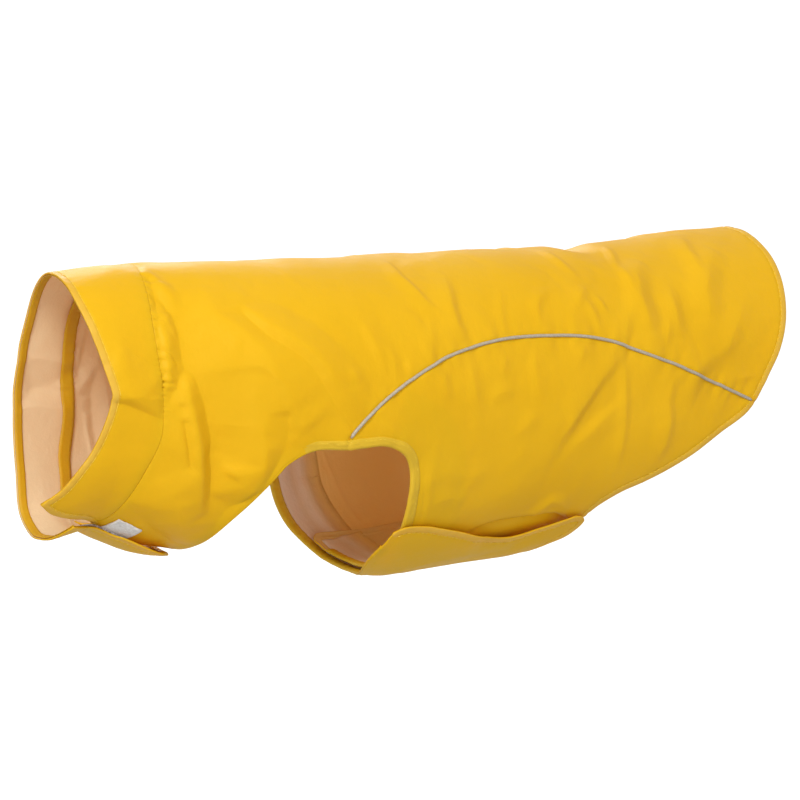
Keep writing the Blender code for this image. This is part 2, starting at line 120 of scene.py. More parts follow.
# Fold lines of the left shoulder and collar: station, angle and height along each. The cloth
# lies in flat facets between them, from the rows of no height at the collar seam and all round.
FOLDS = (
    ((-57, 20, 0), (-59, 31, 0), (-60, 41, 0), (-61, 53, 0), (-61, 66.5, 0), (-62, 81, 0.2),
     (-63, 95.5, 0.2), (-66, 112.5, 0), (-69, 124, 0), (-72, 135.5, 0), (-76, 146, 0)),
    ((-95, 87.5, 1.4), (-85, 86, 4), (-77, 84.5, 3.8), (-68, 84.5, 2.2)),
    ((-100, 50.5, 0), (-87, 55.5, 0), (-71, 54, 0)),
    ((-104, 117, 0), (-90, 124.5, 0), (-75, 128, 0)),
    ((-57, 42, 0.8), (-57, 50, 1.7), (-58, 61.5, 1.9), (-59, 74, 1.3)),
    ((-49, 35, -0.6), (-49, 43, -1.2), (-48, 53, -1.6), (-48, 61, -1.9), (-47, 66, -1.8)),
    ((-52, 72, -1), (-55, 78.5, -0.3), (-58, 84.5, 0.2)),
    ((-49, 72.5, -0.4), (-52, 78.5, 0.5), (-55, 85, 0.9)),
    ((-47, 69, -0.5), (-47, 77, 1.5), (-47, 84, 2.6), (-45, 93.5, 3.3), (-43, 104, 3.7),
     (-41, 114.5, 3.7), (-39, 124.5, 3.4), (-36, 134.5, 2.6), (-33, 142, 1.4)),
    ((-42, 68.5, -1.5), (-39, 76.5, -2.1), (-36, 85, -2.5), (-34, 95, -2.8), (-32, 104, -2.8),
     (-32, 114, -2.8), (-30, 123.5, -2.6), (-29, 133.5, -2), (-27, 142.5, -1)),
    ((-33, 33.5, 0.3), (-24, 39.5, 1.5), (-13, 48, 2.9), (-4, 56.5, 3.8), (2, 64.5, 4.1),
     (7, 72, 3.9), (12, 80.5, 3.3), (15, 88.5, 2.2), (20, 96, 0.9)),
    ((-9, 65, 3.2), (-3, 66, 3.8), (1, 69, 4.1), (4, 72, 4.1)),
    ((-8, 68, 2.3), (-3, 69, 2.5), (1, 72, 2.8), (3, 75, 3)),
    ((-7, 92.5, 1.5), (0, 88.5, 1.9), (10, 86, 2.3)),
    ((-8, 95.5, 1.5), (-4, 99.5, 1.9), (-1, 106, 2.1), (-1, 116, 1.9), (-4, 125.5, 0.9)),
    ((12, 88.5, 0.7), (13, 96.5, -0.3), (12, 104.5, -0.7), (8, 112, -0.9), (5, 117.5, -0.5)),
    ((-27, 103.5, -3), (-25, 111, -2.9), (-24, 116.5, -2)),
    ((-24, 121.5, -1.4), (-18, 120.5, 1.6), (-12, 125.5, 1.9), (-7, 129.5, 1)),
    ((-20, 147.5, -1.2), (-17, 139.5, -2.2), (-12, 136, -1.7)),
    ((-53, 95, 1.5), (-51, 104, 2.0), (-49, 112.5, 2.2), (-47, 121, 2.0)),
    ((-50, 95.5, 0.9), (-49, 104, 0.8), (-47, 112.5, 0.9), (-45, 121, 1.2)),
    ((-58, 89.5, 0.9), (-50, 86.5, 1.1)),
    ((-66, 130.5, 0.5), (-60, 133, 1.8), (-54, 136.5, 3), (-48, 142, 3.4), (-42, 149, 2.8),
     (-35, 156.5, 1.2)),
    ((-61, 154.5, -0.9), (-51, 159.5, -1.7), (-41, 163, -1.8), (-33, 165, -1.2)),
    ((-25, 164, 0), (-21, 158, 0), (0, 125.5, 0.2), (15, 112.5, 0), (29, 104.5, 0),
     (48, 102.5, 0)),
    ((-5, 37, 0.8), (-1, 42, 2.2), (5, 47.5, 2.9), (13, 51.5, 3.3), (22, 56.5, 3.5),
     (31, 62, 3.7), (38, 69, 3.5), (45, 77.5, 2.4), (52, 85.5, 1)),
    ((-7, 40.5, 0.3), (-3, 46, 0.8), (4, 52.5, 1.1), (13, 57.5, 1.4), (23, 63, 1.5),
     (30, 69.5, 1.4), (35, 76.5, 1.1), (43, 85.5, 0.5)),
    ((-46, 24, 0), (-25, 24.5, 0), (-1, 27, 0), (15, 37, 0), (33, 46, 0), (51, 58, 0),
     (64, 69.5, 0), (65, 82.5, 0), (56, 94, 0)),
)

# Creases of the left side: (station, angle) along each, height, reach to the head and the tail.
CREASES = (
    (((111, 12), (108, 26), (112, 34), (115, 40), (121, 44)), 1.5, 6, 2.2),
    (((138, 28), (135, 34), (131, 42), (131, 50), (135, 58)), 2.3, 9, 3.8),
    (((113, 48), (110, 58), (108, 65)), 1, 6, 3.5),
    (((172, 36), (166, 46), (164, 55)), 0.7, 4, 3),
    (((206, 38), (196, 42), (192, 46), (192, 52)), 1.5, 5, 3),
    (((235, 38), (228, 42), (222, 46)), 1.5, 4, 3.5),
    (((230, 44), (233, 50), (235, 56), (235, 60)), 1.1, 3, 2.6),
    (((239, 43), (241, 46), (244, 50)), 1.1, 2.6, 2.2),
    (((231, 9), (229, 20), (230, 27), (232, 33)), 1.3, 4, 3),
    (((280, 10), (274, 20), (267, 30)), 1.5, 3, 3),
    (((271, 28), (270, 35), (269, 41)), 1.3, 3, 3),
    (((290, 25), (277, 34), (272, 44), (273, 52), (274, 60)), 3.6, 9, 8),
    (((268, 45), (258, 54), (252, 63)), 1.2, 6, 5),
    (((299, 40), (297, 48), (297, 57), (298, 63)), 2.4, 8, 5.5),
    (((291, 54), (285, 65)), 1, 4, 3),
    (((338, 11), (330, 22), (328, 30), (329, 36)), 2.2, 8, 4.5),
    (((353, 22), (338, 30), (326, 42), (323, 56)), 3.4, 10, 9),
    (((355, 48), (347, 56), (339, 63), (330, 76)), 1.4, 8, 6.5),
    (((342, 85), (357, 84)), 0.8, 3, 4),
    (((249, 68), (231, 79), (216, 90), (202, 102), (198, 108)), 2.0, 12, 3.6),
    (((251, 68), (251, 78), (250, 87), (249, 104), (247, 120)), 1.3, 5, 3.2),
    (((249, 90), (236, 96), (222, 103), (208, 110)), 1.5, 4, 9),
    (((296, 76), (287, 84), (284, 92), (285, 101), (283, 112), (278, 120)), 1.9, 9, 4.2),
    (((330, 84), (325, 92)), 0.9, 3, 3),
    (((118, 66), (115, 74), (116, 82)), 0.9, 5, 4),
    (((135, 66), (136, 76), (139, 85)), 1.3, 5, 5),
    (((185, 62), (182, 70), (183, 78), (185, 86)), 1, 4, 6),
    (((220, 64), (216, 70)), 0.9, 3, 3),
    (((162, 64), (158, 72)), 0.8, 3, 3),
    (((146, 84), (155, 80), (166, 80)), 1, 5, 5),
    (((167, 100), (175, 96), (182, 90)), 0.9, 5, 5),
    (((65, 86), (74, 92), (84, 98), (94, 106)), 1.3, 4, 5),
    (((67, 46), (70, 53), (74, 62), (76, 70)), 1.6, 4, 8),
    (((80, 58), (82, 64), (83, 72)), 1, 3, 4),
    (((92, 63), (93, 70)), 0.9, 2.6, 4),
    (((52, 67), (58, 74)), 0.9, 3, 4),
    (((19, 88), (22, 92), (20, 97)), 0.5, 2.6, 3),
    (((23, 86), (26, 90), (23, 96)), 0.4, 2.6, 3),
    (((-57, 14), (-53, 18)), 0.9, 3, 4),
    (((-54, 12), (-50, 20), (-50, 27)), 1.1, 3, 3),
    (((-54, 27), (-52, 33), (-51, 39)), -1.0, 2.4, 3),
    (((-56, 36), (-53, 43), (-50, 50)), 0.9, 2.6, 3.4),
    (((-60, 55), (-54, 60), (-52, 66)), -0.7, 2.2, 2.6),
    (((-61, 70), (-56, 73), (-53, 79)), 0.7, 2.4, 2.6),
    (((-55, 21), (-57, 31), (-59, 38)), -1.2, 3, 4),
    (((-48, 21), (-47, 27), (-46, 34)), 1.5, 6, 4),
    (((-85, 52), (-90, 62), (-90, 76)), 1, 7, 6),
    (((111, 126), (124, 124), (136, 127)), 1, 6, 6),
    (((113, 112), (136, 116), (157, 114)), 0.8, 8, 8),
    (((100, 126), (101, 116), (97, 108)), -0.8, 3, 4),
    (((194, 138), (200, 134), (204, 132), (211, 134), (219, 138.5)), 1.5, 2.4, 4),
)

# The dip across the top of the back.
TOP_CREASES = (
    (((284, -30), (275, -14), (267, 0), (263, 8), (262, 16)), -4.8, 13, 9),
)

# Soft ridges along the leg openings and across the belly flaps.
LEFT_LEG_RIDGES = (
    (((106, 108), (108, 120), (111, 134)), 0.5, 3, 3),
    (((102, 110), (105, 122), (108, 136)), -0.4, 2, 2),
)
RIGHT_LEG_RIDGES = (
    (((104, 104), (107, 116), (108, 130), (113, 144), (118, 158), (121, 172), (120, 188)),
     1.2, 3, 3),
    (((110, 104), (114, 117), (117, 130), (123, 144), (129, 156), (131, 170), (130, 186)),
     -2.4, 4, 3.2),
    (((118, 104), (122, 117), (124, 129), (131, 141), (137, 153), (140, 166)), 1.4, 3, 2.4),
    (((122, 106), (126, 117), (130, 129), (137, 141), (145, 153), (150, 164)), -1.0, 1.8, 2.2),
)
FLAP_RIDGES = (
    (((100, 196), (118, 206), (150, 208)), 0.8, 5, 5),
    (((150, 196), (190, 204), (222, 212)), -0.8, 6, 6),
)

LEFT_FOLD_HEIGHT = 1.28     # how much higher the left side's folds stand than their rows say
FLANK = 1.35                # how much further a crease's flanks run than its reach
GATHER_REACH = 12.0         # station over which the collar's gathers fade out
GATHERED_ANGLE = 92.0       # how far down each side the elastic runs

CURL = 1.5                  # how far the end of the right flap curls in


def between(rows, x):
    """Value at x of a curve through (x, value) rows that never swings past a row."""
    xs = np.array([row[0] for row in rows], float)
    ys = np.array([row[1] for row in rows], float)
    step = np.diff(xs)
    rise = np.diff(ys) / step
    slope = np.zeros(len(xs))
    slope[0], slope[-1] = rise[0], rise[-1]
    same_way = rise[:-1] * rise[1:] > 0
    total = np.where(same_way, rise[:-1] + rise[1:], 1.0)
    slope[1:-1] = np.where(same_way, 2 * rise[:-1] * rise[1:] / total, 0.0)
    x = np.clip(x, xs[0], xs[-1])
    i = np.clip(np.searchsorted(xs, x) - 1, 0, len(xs) - 2)
    t = (x - xs[i]) / step[i]
    start = (1 + 2 * t) * (1 - t) ** 2 * ys[i] + t * (1 - t) ** 2 * step[i] * slope[i]
    end = t * t * (3 - 2 * t) * ys[i + 1] - t * t * (1 - t) * step[i] * slope[i + 1]
    return start + end


def ease(x, start, end):
    """0 at start, 1 at end, and smooth between them."""
    t = np.clip((x - start) / (end - start), 0.0, 1.0)
    return t * t * (3 - 2 * t)


def body(station, girth):
    """Points on the body, and the directions straight out from it in each cross-section."""
    top = between([(at, high) for at, high, _, _ in BODY], station)
    bottom = between([(at, low) for at, _, low, _ in BODY], station)
    half_width = between([(at, half) for at, _, _, half in BODY], station)
    half_height = (top - bottom) / 2
    angle = np.radians(girth / GIRTH_PER_DEGREE)
    side, up = np.sin(angle), np.cos(angle)
    wide = np.abs(side) / half_width
    high = np.abs(up) / half_height
    radius = (wide ** ROUNDNESS + high ** ROUNDNESS) ** (-1 / ROUNDNESS)
    points = np.stack([station, -radius * side, (top + bottom) / 2 + radius * up], axis=-1)
    out_side = wide ** (ROUNDNESS - 1) / half_width * np.sign(side)
    out_up = high ** (ROUNDNESS - 1) / half_height * np.sign(up)
    out = np.stack([0 * station, -out_side, out_up], axis=-1)
    return points, out / np.linalg.norm(out, axis=-1, keepdims=True)


def from_line(points, line):
    """(distance, run to the nearest place, -1 or 1 for the side) of pattern points from a line."""
    points = points.reshape(-1, 2)
    starts, runs = line[:-1], np.diff(line, axis=0)
    lengths = np.linalg.norm(runs, axis=1)
    before = np.cumsum(lengths) - lengths
    found = np.empty((3, len(points)))
    for first in range(0, len(points), 4000):
        chunk = points[first:first + 4000]
        offset = chunk[:, None] - starts
        along = np.clip((offset * runs).sum(-1) / lengths ** 2, 0, 1)
        apart = offset - along[..., None] * runs
        away = np.hypot(apart[..., 0], apart[..., 1])
        near = away.argmin(axis=1)
        row = np.arange(len(chunk))
        turn = runs[near, 0] * offset[row, near, 1] - runs[near, 1] * offset[row, near, 0]
        found[0, first:first + 4000] = away[row, near]
        found[1, first:first + 4000] = before[near] + along[row, near] * lengths[near]
        found[2, first:first + 4000] = np.where(turn < 0, -1, 1)
    return found


def pattern_line(rows, side=LEFT):
    """Pattern points of (station, angle) rows."""
    return np.array([(station, side * angle * GIRTH_PER_DEGREE) for station, angle in rows], float)


def run_along(line):
    """How far along the line each of its points lies."""
    return np.concatenate([[0], np.cumsum(np.linalg.norm(np.diff(line, axis=0), axis=1))])


def left_of(line):
    """Directions square to a pattern line, to its left."""
    ahead = np.gradient(line, axis=0)
    left = np.stack([-ahead[:, 1], ahead[:, 0]], axis=-1)
    return left / np.linalg.norm(left, axis=1, keepdims=True)


def points_at(places, run, line):
    """The line's points at places along it."""
    return np.stack([np.interp(places, run, line[:, axis]) for axis in (0, 1)], axis=-1)


def curve_through(rows, side=LEFT, step=2.0):
    """Evenly spaced pattern points on a smooth curve through (station, angle) rows."""
    knots = pattern_line(rows, side)
    gaps = np.sqrt(np.linalg.norm(np.diff(knots, axis=0), axis=1))
    rates = np.diff(knots, axis=0) / gaps[:, None]
    tangents = np.empty_like(knots)
    tangents[0], tangents[-1] = rates[0], rates[-1]
    before, after = gaps[:-1, None], gaps[1:, None]
    tangents[1:-1] = (rates[:-1] * after + rates[1:] * before) / (before + after)
    t = np.linspace(0, 1, 24, endpoint=False)[:, None]
    dense = [
        (1 + 2 * t) * (1 - t) ** 2 * knots[i] + t * (1 - t) ** 2 * gaps[i] * tangents[i]
        + t * t * (3 - 2 * t) * knots[i + 1] - t * t * (1 - t) * gaps[i] * tangents[i + 1]
        for i in range(len(gaps))
    ]
    dense = np.vstack(dense + [knots[-1:]])
    run = run_along(dense)
    return points_at(np.linspace(0, run[-1], max(2, round(run[-1] / step) + 1)), run, dense)


def joined(*edges):
    """One line from edges that meet end to end."""
    return np.vstack([edges[0]] + [edge[1:] for edge in edges[1:]])


def settled(rows, side, seed):
    """Crease rows of one side; the right side's are the left's, a little moved and reshaped."""
    chance = np.random.default_rng(seed)
    creases = []
    for points, height, ahead, behind in rows:
        line = pattern_line(points, side)
        if side == RIGHT:
            line += chance.uniform((-9, -7), (9, 7))
            line[-1] += chance.uniform((-8, -6), (8, 6))
            height *= chance.uniform(0.7, 1.15)
            ahead, behind = behind, ahead
        creases.append((line, height, ahead, behind))
    return creases


def tension_lines(seed, count):
    """Faint short creases all over, mostly running down the sides."""
    chance = np.random.default_rng(seed)
    creases = []
    for _ in range(count):
        start = chance.uniform((-40, -230), (385, 230))
        heading = chance.normal(math.pi / 2, 0.5)
        length = chance.uniform(12, 38)
        middle = start + length / 2 * np.array([math.cos(heading), math.sin(heading)])
        end = start + length * np.array([math.cos(heading + 0.25), math.sin(heading + 0.25)])
        height = chance.choice([-1, 1]) * chance.uniform(0.15, 0.5)
        creases.append((np.array([start, middle, end]), height, 3.0, 4.0))
    return creases


TENSION_COUNT = 120
ALL_CREASES = (
    settled(CREASES, LEFT, 1) + settled(CREASES, RIGHT, 7) + settled(TOP_CREASES, LEFT, 1)
    + settled(LEFT_LEG_RIDGES, LEFT, 1) + settled(FLAP_RIDGES, LEFT, 1)
    + settled(FLAP_RIDGES, RIGHT, 5) + settled(RIGHT_LEG_RIDGES, RIGHT, 5)
    + tension_lines(11, TENSION_COUNT)
)


def crease_height(pattern):
    """Height of every crease over the smooth form."""
    total = np.zeros(len(pattern))
    for line, height, ahead, behind in ALL_CREASES:
        margin = 4 * max(ahead, behind)
        low, high = line.min(axis=0) - margin, line.max(axis=0) + margin
        near = ((pattern > low) & (pattern < high)).all(axis=1)
        if not near.any():
            continue
        away, run, side = from_line(pattern[near], line)
        length = np.linalg.norm(np.diff(line, axis=0), axis=1).sum()
        fade = np.sin(math.pi * np.clip(run / length, 0.03, 0.97)) ** 0.6
        reach = np.where(side > 0, ahead, behind) * FLANK
        down = 1 - np.hypot(away / reach, 0.10)
        total[near] += height * fade * (down + np.hypot(down, 0.2)) / 1.82
    return total


def undulation(pattern, wavelength, seed, waves=9):
    """Smooth uneven swell of about unit height."""
    chance = np.random.default_rng(seed)
    total = np.zeros(len(pattern))
    for heading in chance.uniform(0, math.pi, waves):
        across = pattern @ np.array([math.cos(heading), math.sin(heading)])
        total += np.sin(2 * math.pi * across / wavelength / chance.uniform(0.7, 1.5)
                        + chance.uniform(0, 2 * math.pi))
    return total / math.sqrt(waves)


def turned_over(points):
    """The fold lines' places on the right side: the left side's, a little moved."""
    station, girth = points[:, 0], points[:, 1]
    return np.stack([station + 3 + 4 * np.sin(girth / 38), 4 * np.sin(station / 27) - girth - 2],
                    axis=-1)


def facets(chance):
    """(points, heights, fold edges) of the flat facets that the cloth lies in on both sides."""
    points, heights, edges = [], [], []
    for side in (LEFT, RIGHT):
        for row in FOLDS:
            line = pattern_line([point[:2] for point in row], LEFT)
            edges += [(len(points) + i, len(points) + i + 1) for i in range(len(row) - 1)]
            points += list(line if side == LEFT else turned_over(line))
            taller = LEFT_FOLD_HEIGHT if side == LEFT else 1.0
            heights += [height * taller for _, _, height in row]
    drawn = np.array(points)
    for station in np.arange(*FACET_STATIONS, FACET):
        for girth in np.arange(*FACET_GIRTHS, FACET):
            point = np.array([station, girth]) + chance.uniform(-0.42, 0.42, 2) * FACET
            if np.linalg.norm(drawn - point, axis=1).min() > 0.6 * FACET:
                points.append(point)
                heights.append(chance.normal(0, FACET_HEIGHT))
    return np.array(points), np.array(heights), edges


def facet_map():
    """Heights of the facets on a fine grid over the pattern, with their edges rounded a little."""
    points, heights, edges = facets(np.random.default_rng(23))
    cut = delaunay_2d_cdt([Vector(point) for point in points], edges, [], 0, 1e-6)
    spots = np.array([tuple(point) for point in cut[0]])
    raised = np.array([heights[own[0]] if own else 0.0 for own in cut[3]])
    high = np.zeros(tuple(round(size / GRID) for size in GRID_SIZE))
    for face in cut[2]:
        corners, tall = spots[list(face)], raised[list(face)]
        low = np.floor((corners.min(axis=0) - GRID_START) / GRID).astype(int)
        top = np.ceil((corners.max(axis=0) - GRID_START) / GRID).astype(int) + 1
        low, top = np.maximum(low, 0), np.minimum(top, high.shape)
        if (top <= low).any():
            continue
        x, y = np.meshgrid(*(np.arange(a, b) * GRID + s for a, b, s in zip(low, top, GRID_START)),
                           indexing="ij")
        spans = np.linalg.inv(np.column_stack([corners[1] - corners[0], corners[2] - corners[0]]))
        along = (x - corners[0, 0]) * spans[0, 0] + (y - corners[0, 1]) * spans[0, 1]
        across = (x - corners[0, 0]) * spans[1, 0] + (y - corners[0, 1]) * spans[1, 1]
        inside = (along > -1e-9) & (across > -1e-9) & (along + across < 1 + 1e-9)
        level = tall[0] + along * (tall[1] - tall[0]) + across * (tall[2] - tall[0])
        block = high[low[0]:top[0], low[1]:top[1]]
        block[inside] = level[inside]
    weights = np.exp(-0.5 * (np.arange(-4, 5) * GRID / FOLD_ROUNDING) ** 2)
    weights /= weights.sum()
    for axis in (0, 1):
        high = sum(w * np.roll(high, k, axis) for w, k in zip(weights, range(-4, 5)))
    return high


# The height map over the pattern: its step, where it starts, and the station and girth it spans.
GRID = 0.8
GRID_START = np.array([-145.0, -350.0])
GRID_SIZE = (560, 700)
FACET = 27.0                # size of the cloth's broad flat facets away from the drawn folds
FACET_STATIONS, FACET_GIRTHS = (-130, 420), (-345, 346)
FACET_HEIGHT = 0.5
FOLD_ROUNDING = 0.8
FACET_MAP = facet_map()


def facet_height(pattern):
    """The facets' height at pattern points."""
    at = (pattern - GRID_START) / GRID
    at = np.clip(at, 0, np.array(FACET_MAP.shape) - 1.001)
    cell = at.astype(int)
    x, y = (at - cell).T
    i, j = cell.T
    near = FACET_MAP[i, j] * (1 - y) + FACET_MAP[i, j + 1] * y
    far = FACET_MAP[i + 1, j] * (1 - y) + FACET_MAP[i + 1, j + 1] * y
    return near * (1 - x) + far * x


COLLAR_LINE = joined(curve_through(RIGHT_COLLAR_SEAM, RIGHT)[::-1],
                     curve_through(LEFT_COLLAR_SEAM, LEFT))
PIPING_LINES = (curve_through(PIPING_SEAM, LEFT), curve_through(PIPING_SEAM, RIGHT))


def gather_height(pattern):
    """Puckers that the elastic draws up behind the collar seam, long and short in turn."""
    away, run, _ = from_line(pattern, COLLAR_LINE)
    angle = np.abs(pattern[:, 1]) / GIRTH_PER_DEGREE
    seam = between([(down, station) for station, down in COLLAR_SEAM], angle)
    behind = np.where(pattern[:, 0] > seam, away, -away)
    gathered = 1 - ease(angle, GATHERED_ANGLE - 14, GATHERED_ANGLE)
    uneven = run + 2.6 * np.sin(run / 9.3) + 1.7 * np.sin(run / 4.1 + 1)
    fine = 0.17 * np.cos(2 * math.pi * uneven / 4.6) * np.exp(-np.clip(behind, 0, None) / 2.6)
    small = 0.42 * np.cos(2 * math.pi * uneven / 9.7) * np.exp(-np.clip(behind, 0, None) / 6.5)
    large = np.abs(np.sin(math.pi * uneven / 21 + 0.6)) - 0.6
    large *= (1.3 - 0.9 * ease(angle, 22, 40)) * ease(behind, 0, 6)
    large *= np.exp(-np.clip(behind - 4, 0, None) / GATHER_REACH)
    in_front = fine * np.exp(np.clip(behind, None, 0) / 1.2)
    return gathered * np.where(behind > 0, fine + ease(behind, 0.0, 2.5) * small + large, in_front)


def seam_puckers(pattern):
    """Short uneven waves that the arc seam's stitching draws up on both sides of it."""
    total = np.zeros(len(pattern))
    for seed, line in enumerate(PIPING_LINES):
        near = np.abs(pattern[:, 1] - line[:, 1].mean()) < 110
        if not near.any():
            continue
        away, run, _ = from_line(pattern[near], line)
        uneven = run + 4.0 * np.sin(run / 17 + seed) + 2.0 * np.sin(run / 7.3)
        short = 0.45 * np.sin(2 * math.pi * uneven / 11) * np.exp(-away / 6)
        long = 0.7 * np.sin(2 * math.pi * uneven / 31 + 2 * seed) * np.exp(-away / 17)
        total[near] += (short + long) * ease(away, 0, 3)
    return total


def form(station, girth, lift):
    """Points on the inner face of the wall, with all the folds, creases and puckers."""
    points, out = body(station, girth)
    pattern = np.stack([station.ravel(), girth.ravel()], axis=-1)
    relief = crease_height(pattern) + gather_height(pattern) + seam_puckers(pattern)
    relief += 0.35 * undulation(pattern, 75, 3) + facet_height(pattern)
    return points + (lift(station, girth) + relief.reshape(station.shape))[..., None] * out


def wrapped(pattern, lift):
    """Millimetre points on the inner face of the wall, and the directions straight out of it."""
    pattern = np.asarray(pattern, float)
    station, girth = pattern[..., 0], pattern[..., 1]
    near = 0.6              # half the span that the slope is measured over
    along = form(station + near, girth, lift) - form(station - near, girth, lift)
    around = form(station, girth + near, lift) - form(station, girth - near, lift)
    normal = np.cross(around, along)
    normal /= np.linalg.norm(normal, axis=-1, keepdims=True)
    return form(station, girth, lift), normal


def place(pattern, lift, out=0.0):
    """World points, in metres, that lie `out` millimetres outside the inner face of the wall."""
    points, normal = wrapped(pattern, lift)
    return (points + np.asarray(out)[..., None] * normal) * MM


def level(station, girth):
    """No lift: the collar, the back and their trims above the closures."""
    return 0 * station


def right_lift(station, girth):
    """The right side laps outside the left one underneath, and the flap's end curls in a little."""
    angle = -girth / GIRTH_PER_DEGREE
    full = 160 - 14 * ease(station, -10, 60)
    curled = CURL * ease(angle, 204, 212) * ease(station, 150, 180)
    return LAP * ease(angle, full - 24, full) - curled


def fronts_lift(station, girth):
    """The right front laps outside the left one under the throat."""
    return right_lift(station, girth) * (girth < 0)


# How an edge is finished: what its border adds to the outer face at a distance from the edge.
HEM_WIDTH = 4.2             # from a turned edge to its row of stitches


def hemmed(away, run):
    """Turned under and stitched: a slight welt, a groove at the stitches, fine puckers."""
    groove = -0.34 * np.exp(-(((away - HEM_WIDTH) / 0.6) ** 2))
    welt = 0.22 * (1 - ease(away, HEM_WIDTH - 0.8, HEM_WIDTH + 0.6)) * ease(away, 0.0, 1.2)
    wave = np.sin(2 * math.pi * (run + 1.5 * np.sin(run / 6.1)) / 6.4)
    return groove + welt + 0.16 * wave * np.exp(-np.abs(away - HEM_WIDTH) / 2.2)


def seamed(away, run):
    """Turned in along a seam: the edge rolls down into the ditch."""
    wave = np.sin(2 * math.pi * (run + 1.2 * np.sin(run / 5.3)) / 5.2)
    return -0.45 * np.exp(-away / 0.9) + 0.10 * wave * np.exp(-away / 2.5)


def gathered_from(spine):
    """The collar's seam: puckered shut where it is gathered, an open ditch towards the throat."""
    def finish(away, run):
        down = np.abs(run - spine)
        ditch = 0.10 + 0.35 * ease(down, 168, 190)
        wave = np.sin(2 * math.pi * (run + 2.0 * np.sin(run / 5.3)) / 6.2)
        notch = 0.30 * (1 - ease(down, 140, 165)) * np.clip(wave, -1, 0.2)
        return -ditch * np.exp(-away / 0.9) + notch * np.exp(-away / 1.6)
    return finish


def rolled(away, run):
    """The fronts' edges: turned in over the binding, so that only a soft roll shows."""
    return -0.40 * np.exp(-away / 0.7)


def closed_outline(edges):
    """Corner points of (points, set-back, finish) edges, and each side's set-back, drawn in."""
    points = np.vstack([edge[:-1] for edge, _, _ in edges])
    set_back = np.concatenate([np.full(len(edge) - 1, back) for edge, back, _ in edges])
    if np.cross(points, np.roll(points, -1, axis=0)).sum() < 0:
        points = points[::-1]
        set_back = np.roll(set_back[::-1], -1)
    sides = np.roll(points, -1, axis=0) - points
    inward = np.stack([-sides[:, 1], sides[:, 0]], axis=-1)
    inward /= np.linalg.norm(inward, axis=1, keepdims=True)
    middle = inward + np.roll(inward, 1, axis=0)
    middle /= np.linalg.norm(middle, axis=1, keepdims=True)
    return points + middle * (set_back + np.roll(set_back, 1))[:, None] / 2, middle


def border_points(outline, middle, depths):
    """Rows of points that follow the outline inside it at each depth."""
    closed = np.vstack([outline, outline[:1]])
    kept = []
    for depth in depths:
        row = outline + middle * depth
        away, _, side = from_line(row, closed)
        kept.append(row[(away > 0.96 * depth) & (side > 0)])
    return np.vstack(kept)


def cell_points(outline, spacing, clear):
    """Staggered rows of points inside the outline and `clear` away from it."""
    low, high = outline.min(axis=0), outline.max(axis=0)
    rows = []
    for row, station in enumerate(np.arange(low[0], high[0], spacing * 0.87)):
        girth = np.arange(low[1] + spacing * (row % 2) / 2, high[1], spacing)
        rows.append(np.stack([np.full_like(girth, station), girth], axis=-1))
    return within(np.vstack(rows), outline, clear)


def within(points, outline, clear):
    """The points that lie inside the outline and `clear` away from it."""
    ends = np.roll(outline, -1, axis=0)
    rise = np.where(ends[:, 1] == outline[:, 1], 1, ends[:, 1] - outline[:, 1])
    inside = np.zeros(len(points), int)
    for (x0, y0), (x1, y1), climb in zip(outline, ends, rise):
        crosses = (y0 > points[:, 1]) != (y1 > points[:, 1])
        at = x0 + (points[:, 1] - y0) / climb * (x1 - x0)
        inside += crosses & (points[:, 0] < at)
    points = points[inside % 2 == 1]
    away, _, _ = from_line(points, np.vstack([outline, outline[:1]]))
    return points[away > clear]


def apart(points, others, least):
    """Which points have none of the others within the least distance."""
    clear = np.ones(len(points), bool)
    order = np.argsort(others[:, 0])
    others = others[order]
    first = np.searchsorted(others[:, 0], points[:, 0] - least)
    last = np.searchsorted(others[:, 0], points[:, 0] + least)
    for i, (a, b) in enumerate(zip(first, last)):
        if b > a:
            clear[i] = ((others[a:b] - points[i]) ** 2).sum(axis=1).min() > least ** 2
    return clear


def finished(piece, slot, *stands_for):
    """The piece rides on the coat and stands for its solids; its slot is not used."""
    piece.data.shade_smooth()
    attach(piece, "root")
    if stands_for:
        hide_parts(*stands_for)
    return piece


def crease_points():
    """Rows of points on and close beside every drawn fold and crease, so that they stay crisp."""
    lines = [line for line, _, _, _ in ALL_CREASES[:-TENSION_COUNT]]
    for row in FOLDS:
        if any(height for _, _, height in row):
            line = pattern_line([point[:2] for point in row], LEFT)
            lines += [line, turned_over(line)]
    rows = []
    for line in lines:
        run = run_along(line)
        points = points_at(np.linspace(0, run[-1], max(2, round(run[-1] / 1.8))), run, line)
        rows += [points + off * left_of(points) for off in (-1.0, 0.0, 1.0)]
    points = np.vstack(rows)
    _, first = np.unique(np.round(points / 0.9), axis=0, return_index=True)
    return points[np.sort(first)]


CREASE_POINTS = crease_points()


def new_piece(name, points, faces, *materials):
    """An object from its points and faces."""
    mesh = bpy.data.meshes.new(name)
    mesh.from_pydata(np.asarray(points).tolist(), [], faces)
    for material in materials:
        mesh.materials.append(material)
    piece = bpy.data.objects.new(name, mesh)
    bpy.context.scene.collection.objects.link(piece)
    return piece


def lay_cut(mesh, pattern):
    """The pattern goes along as the map "cut", in decimetres, for the weave to follow."""
    corners = np.empty(len(mesh.loops), int)
    mesh.loops.foreach_get("vertex_index", corners)
    mesh.uv_layers.new(name="cut").uv.foreach_set("vector", (pattern[corners] / 100).ravel())


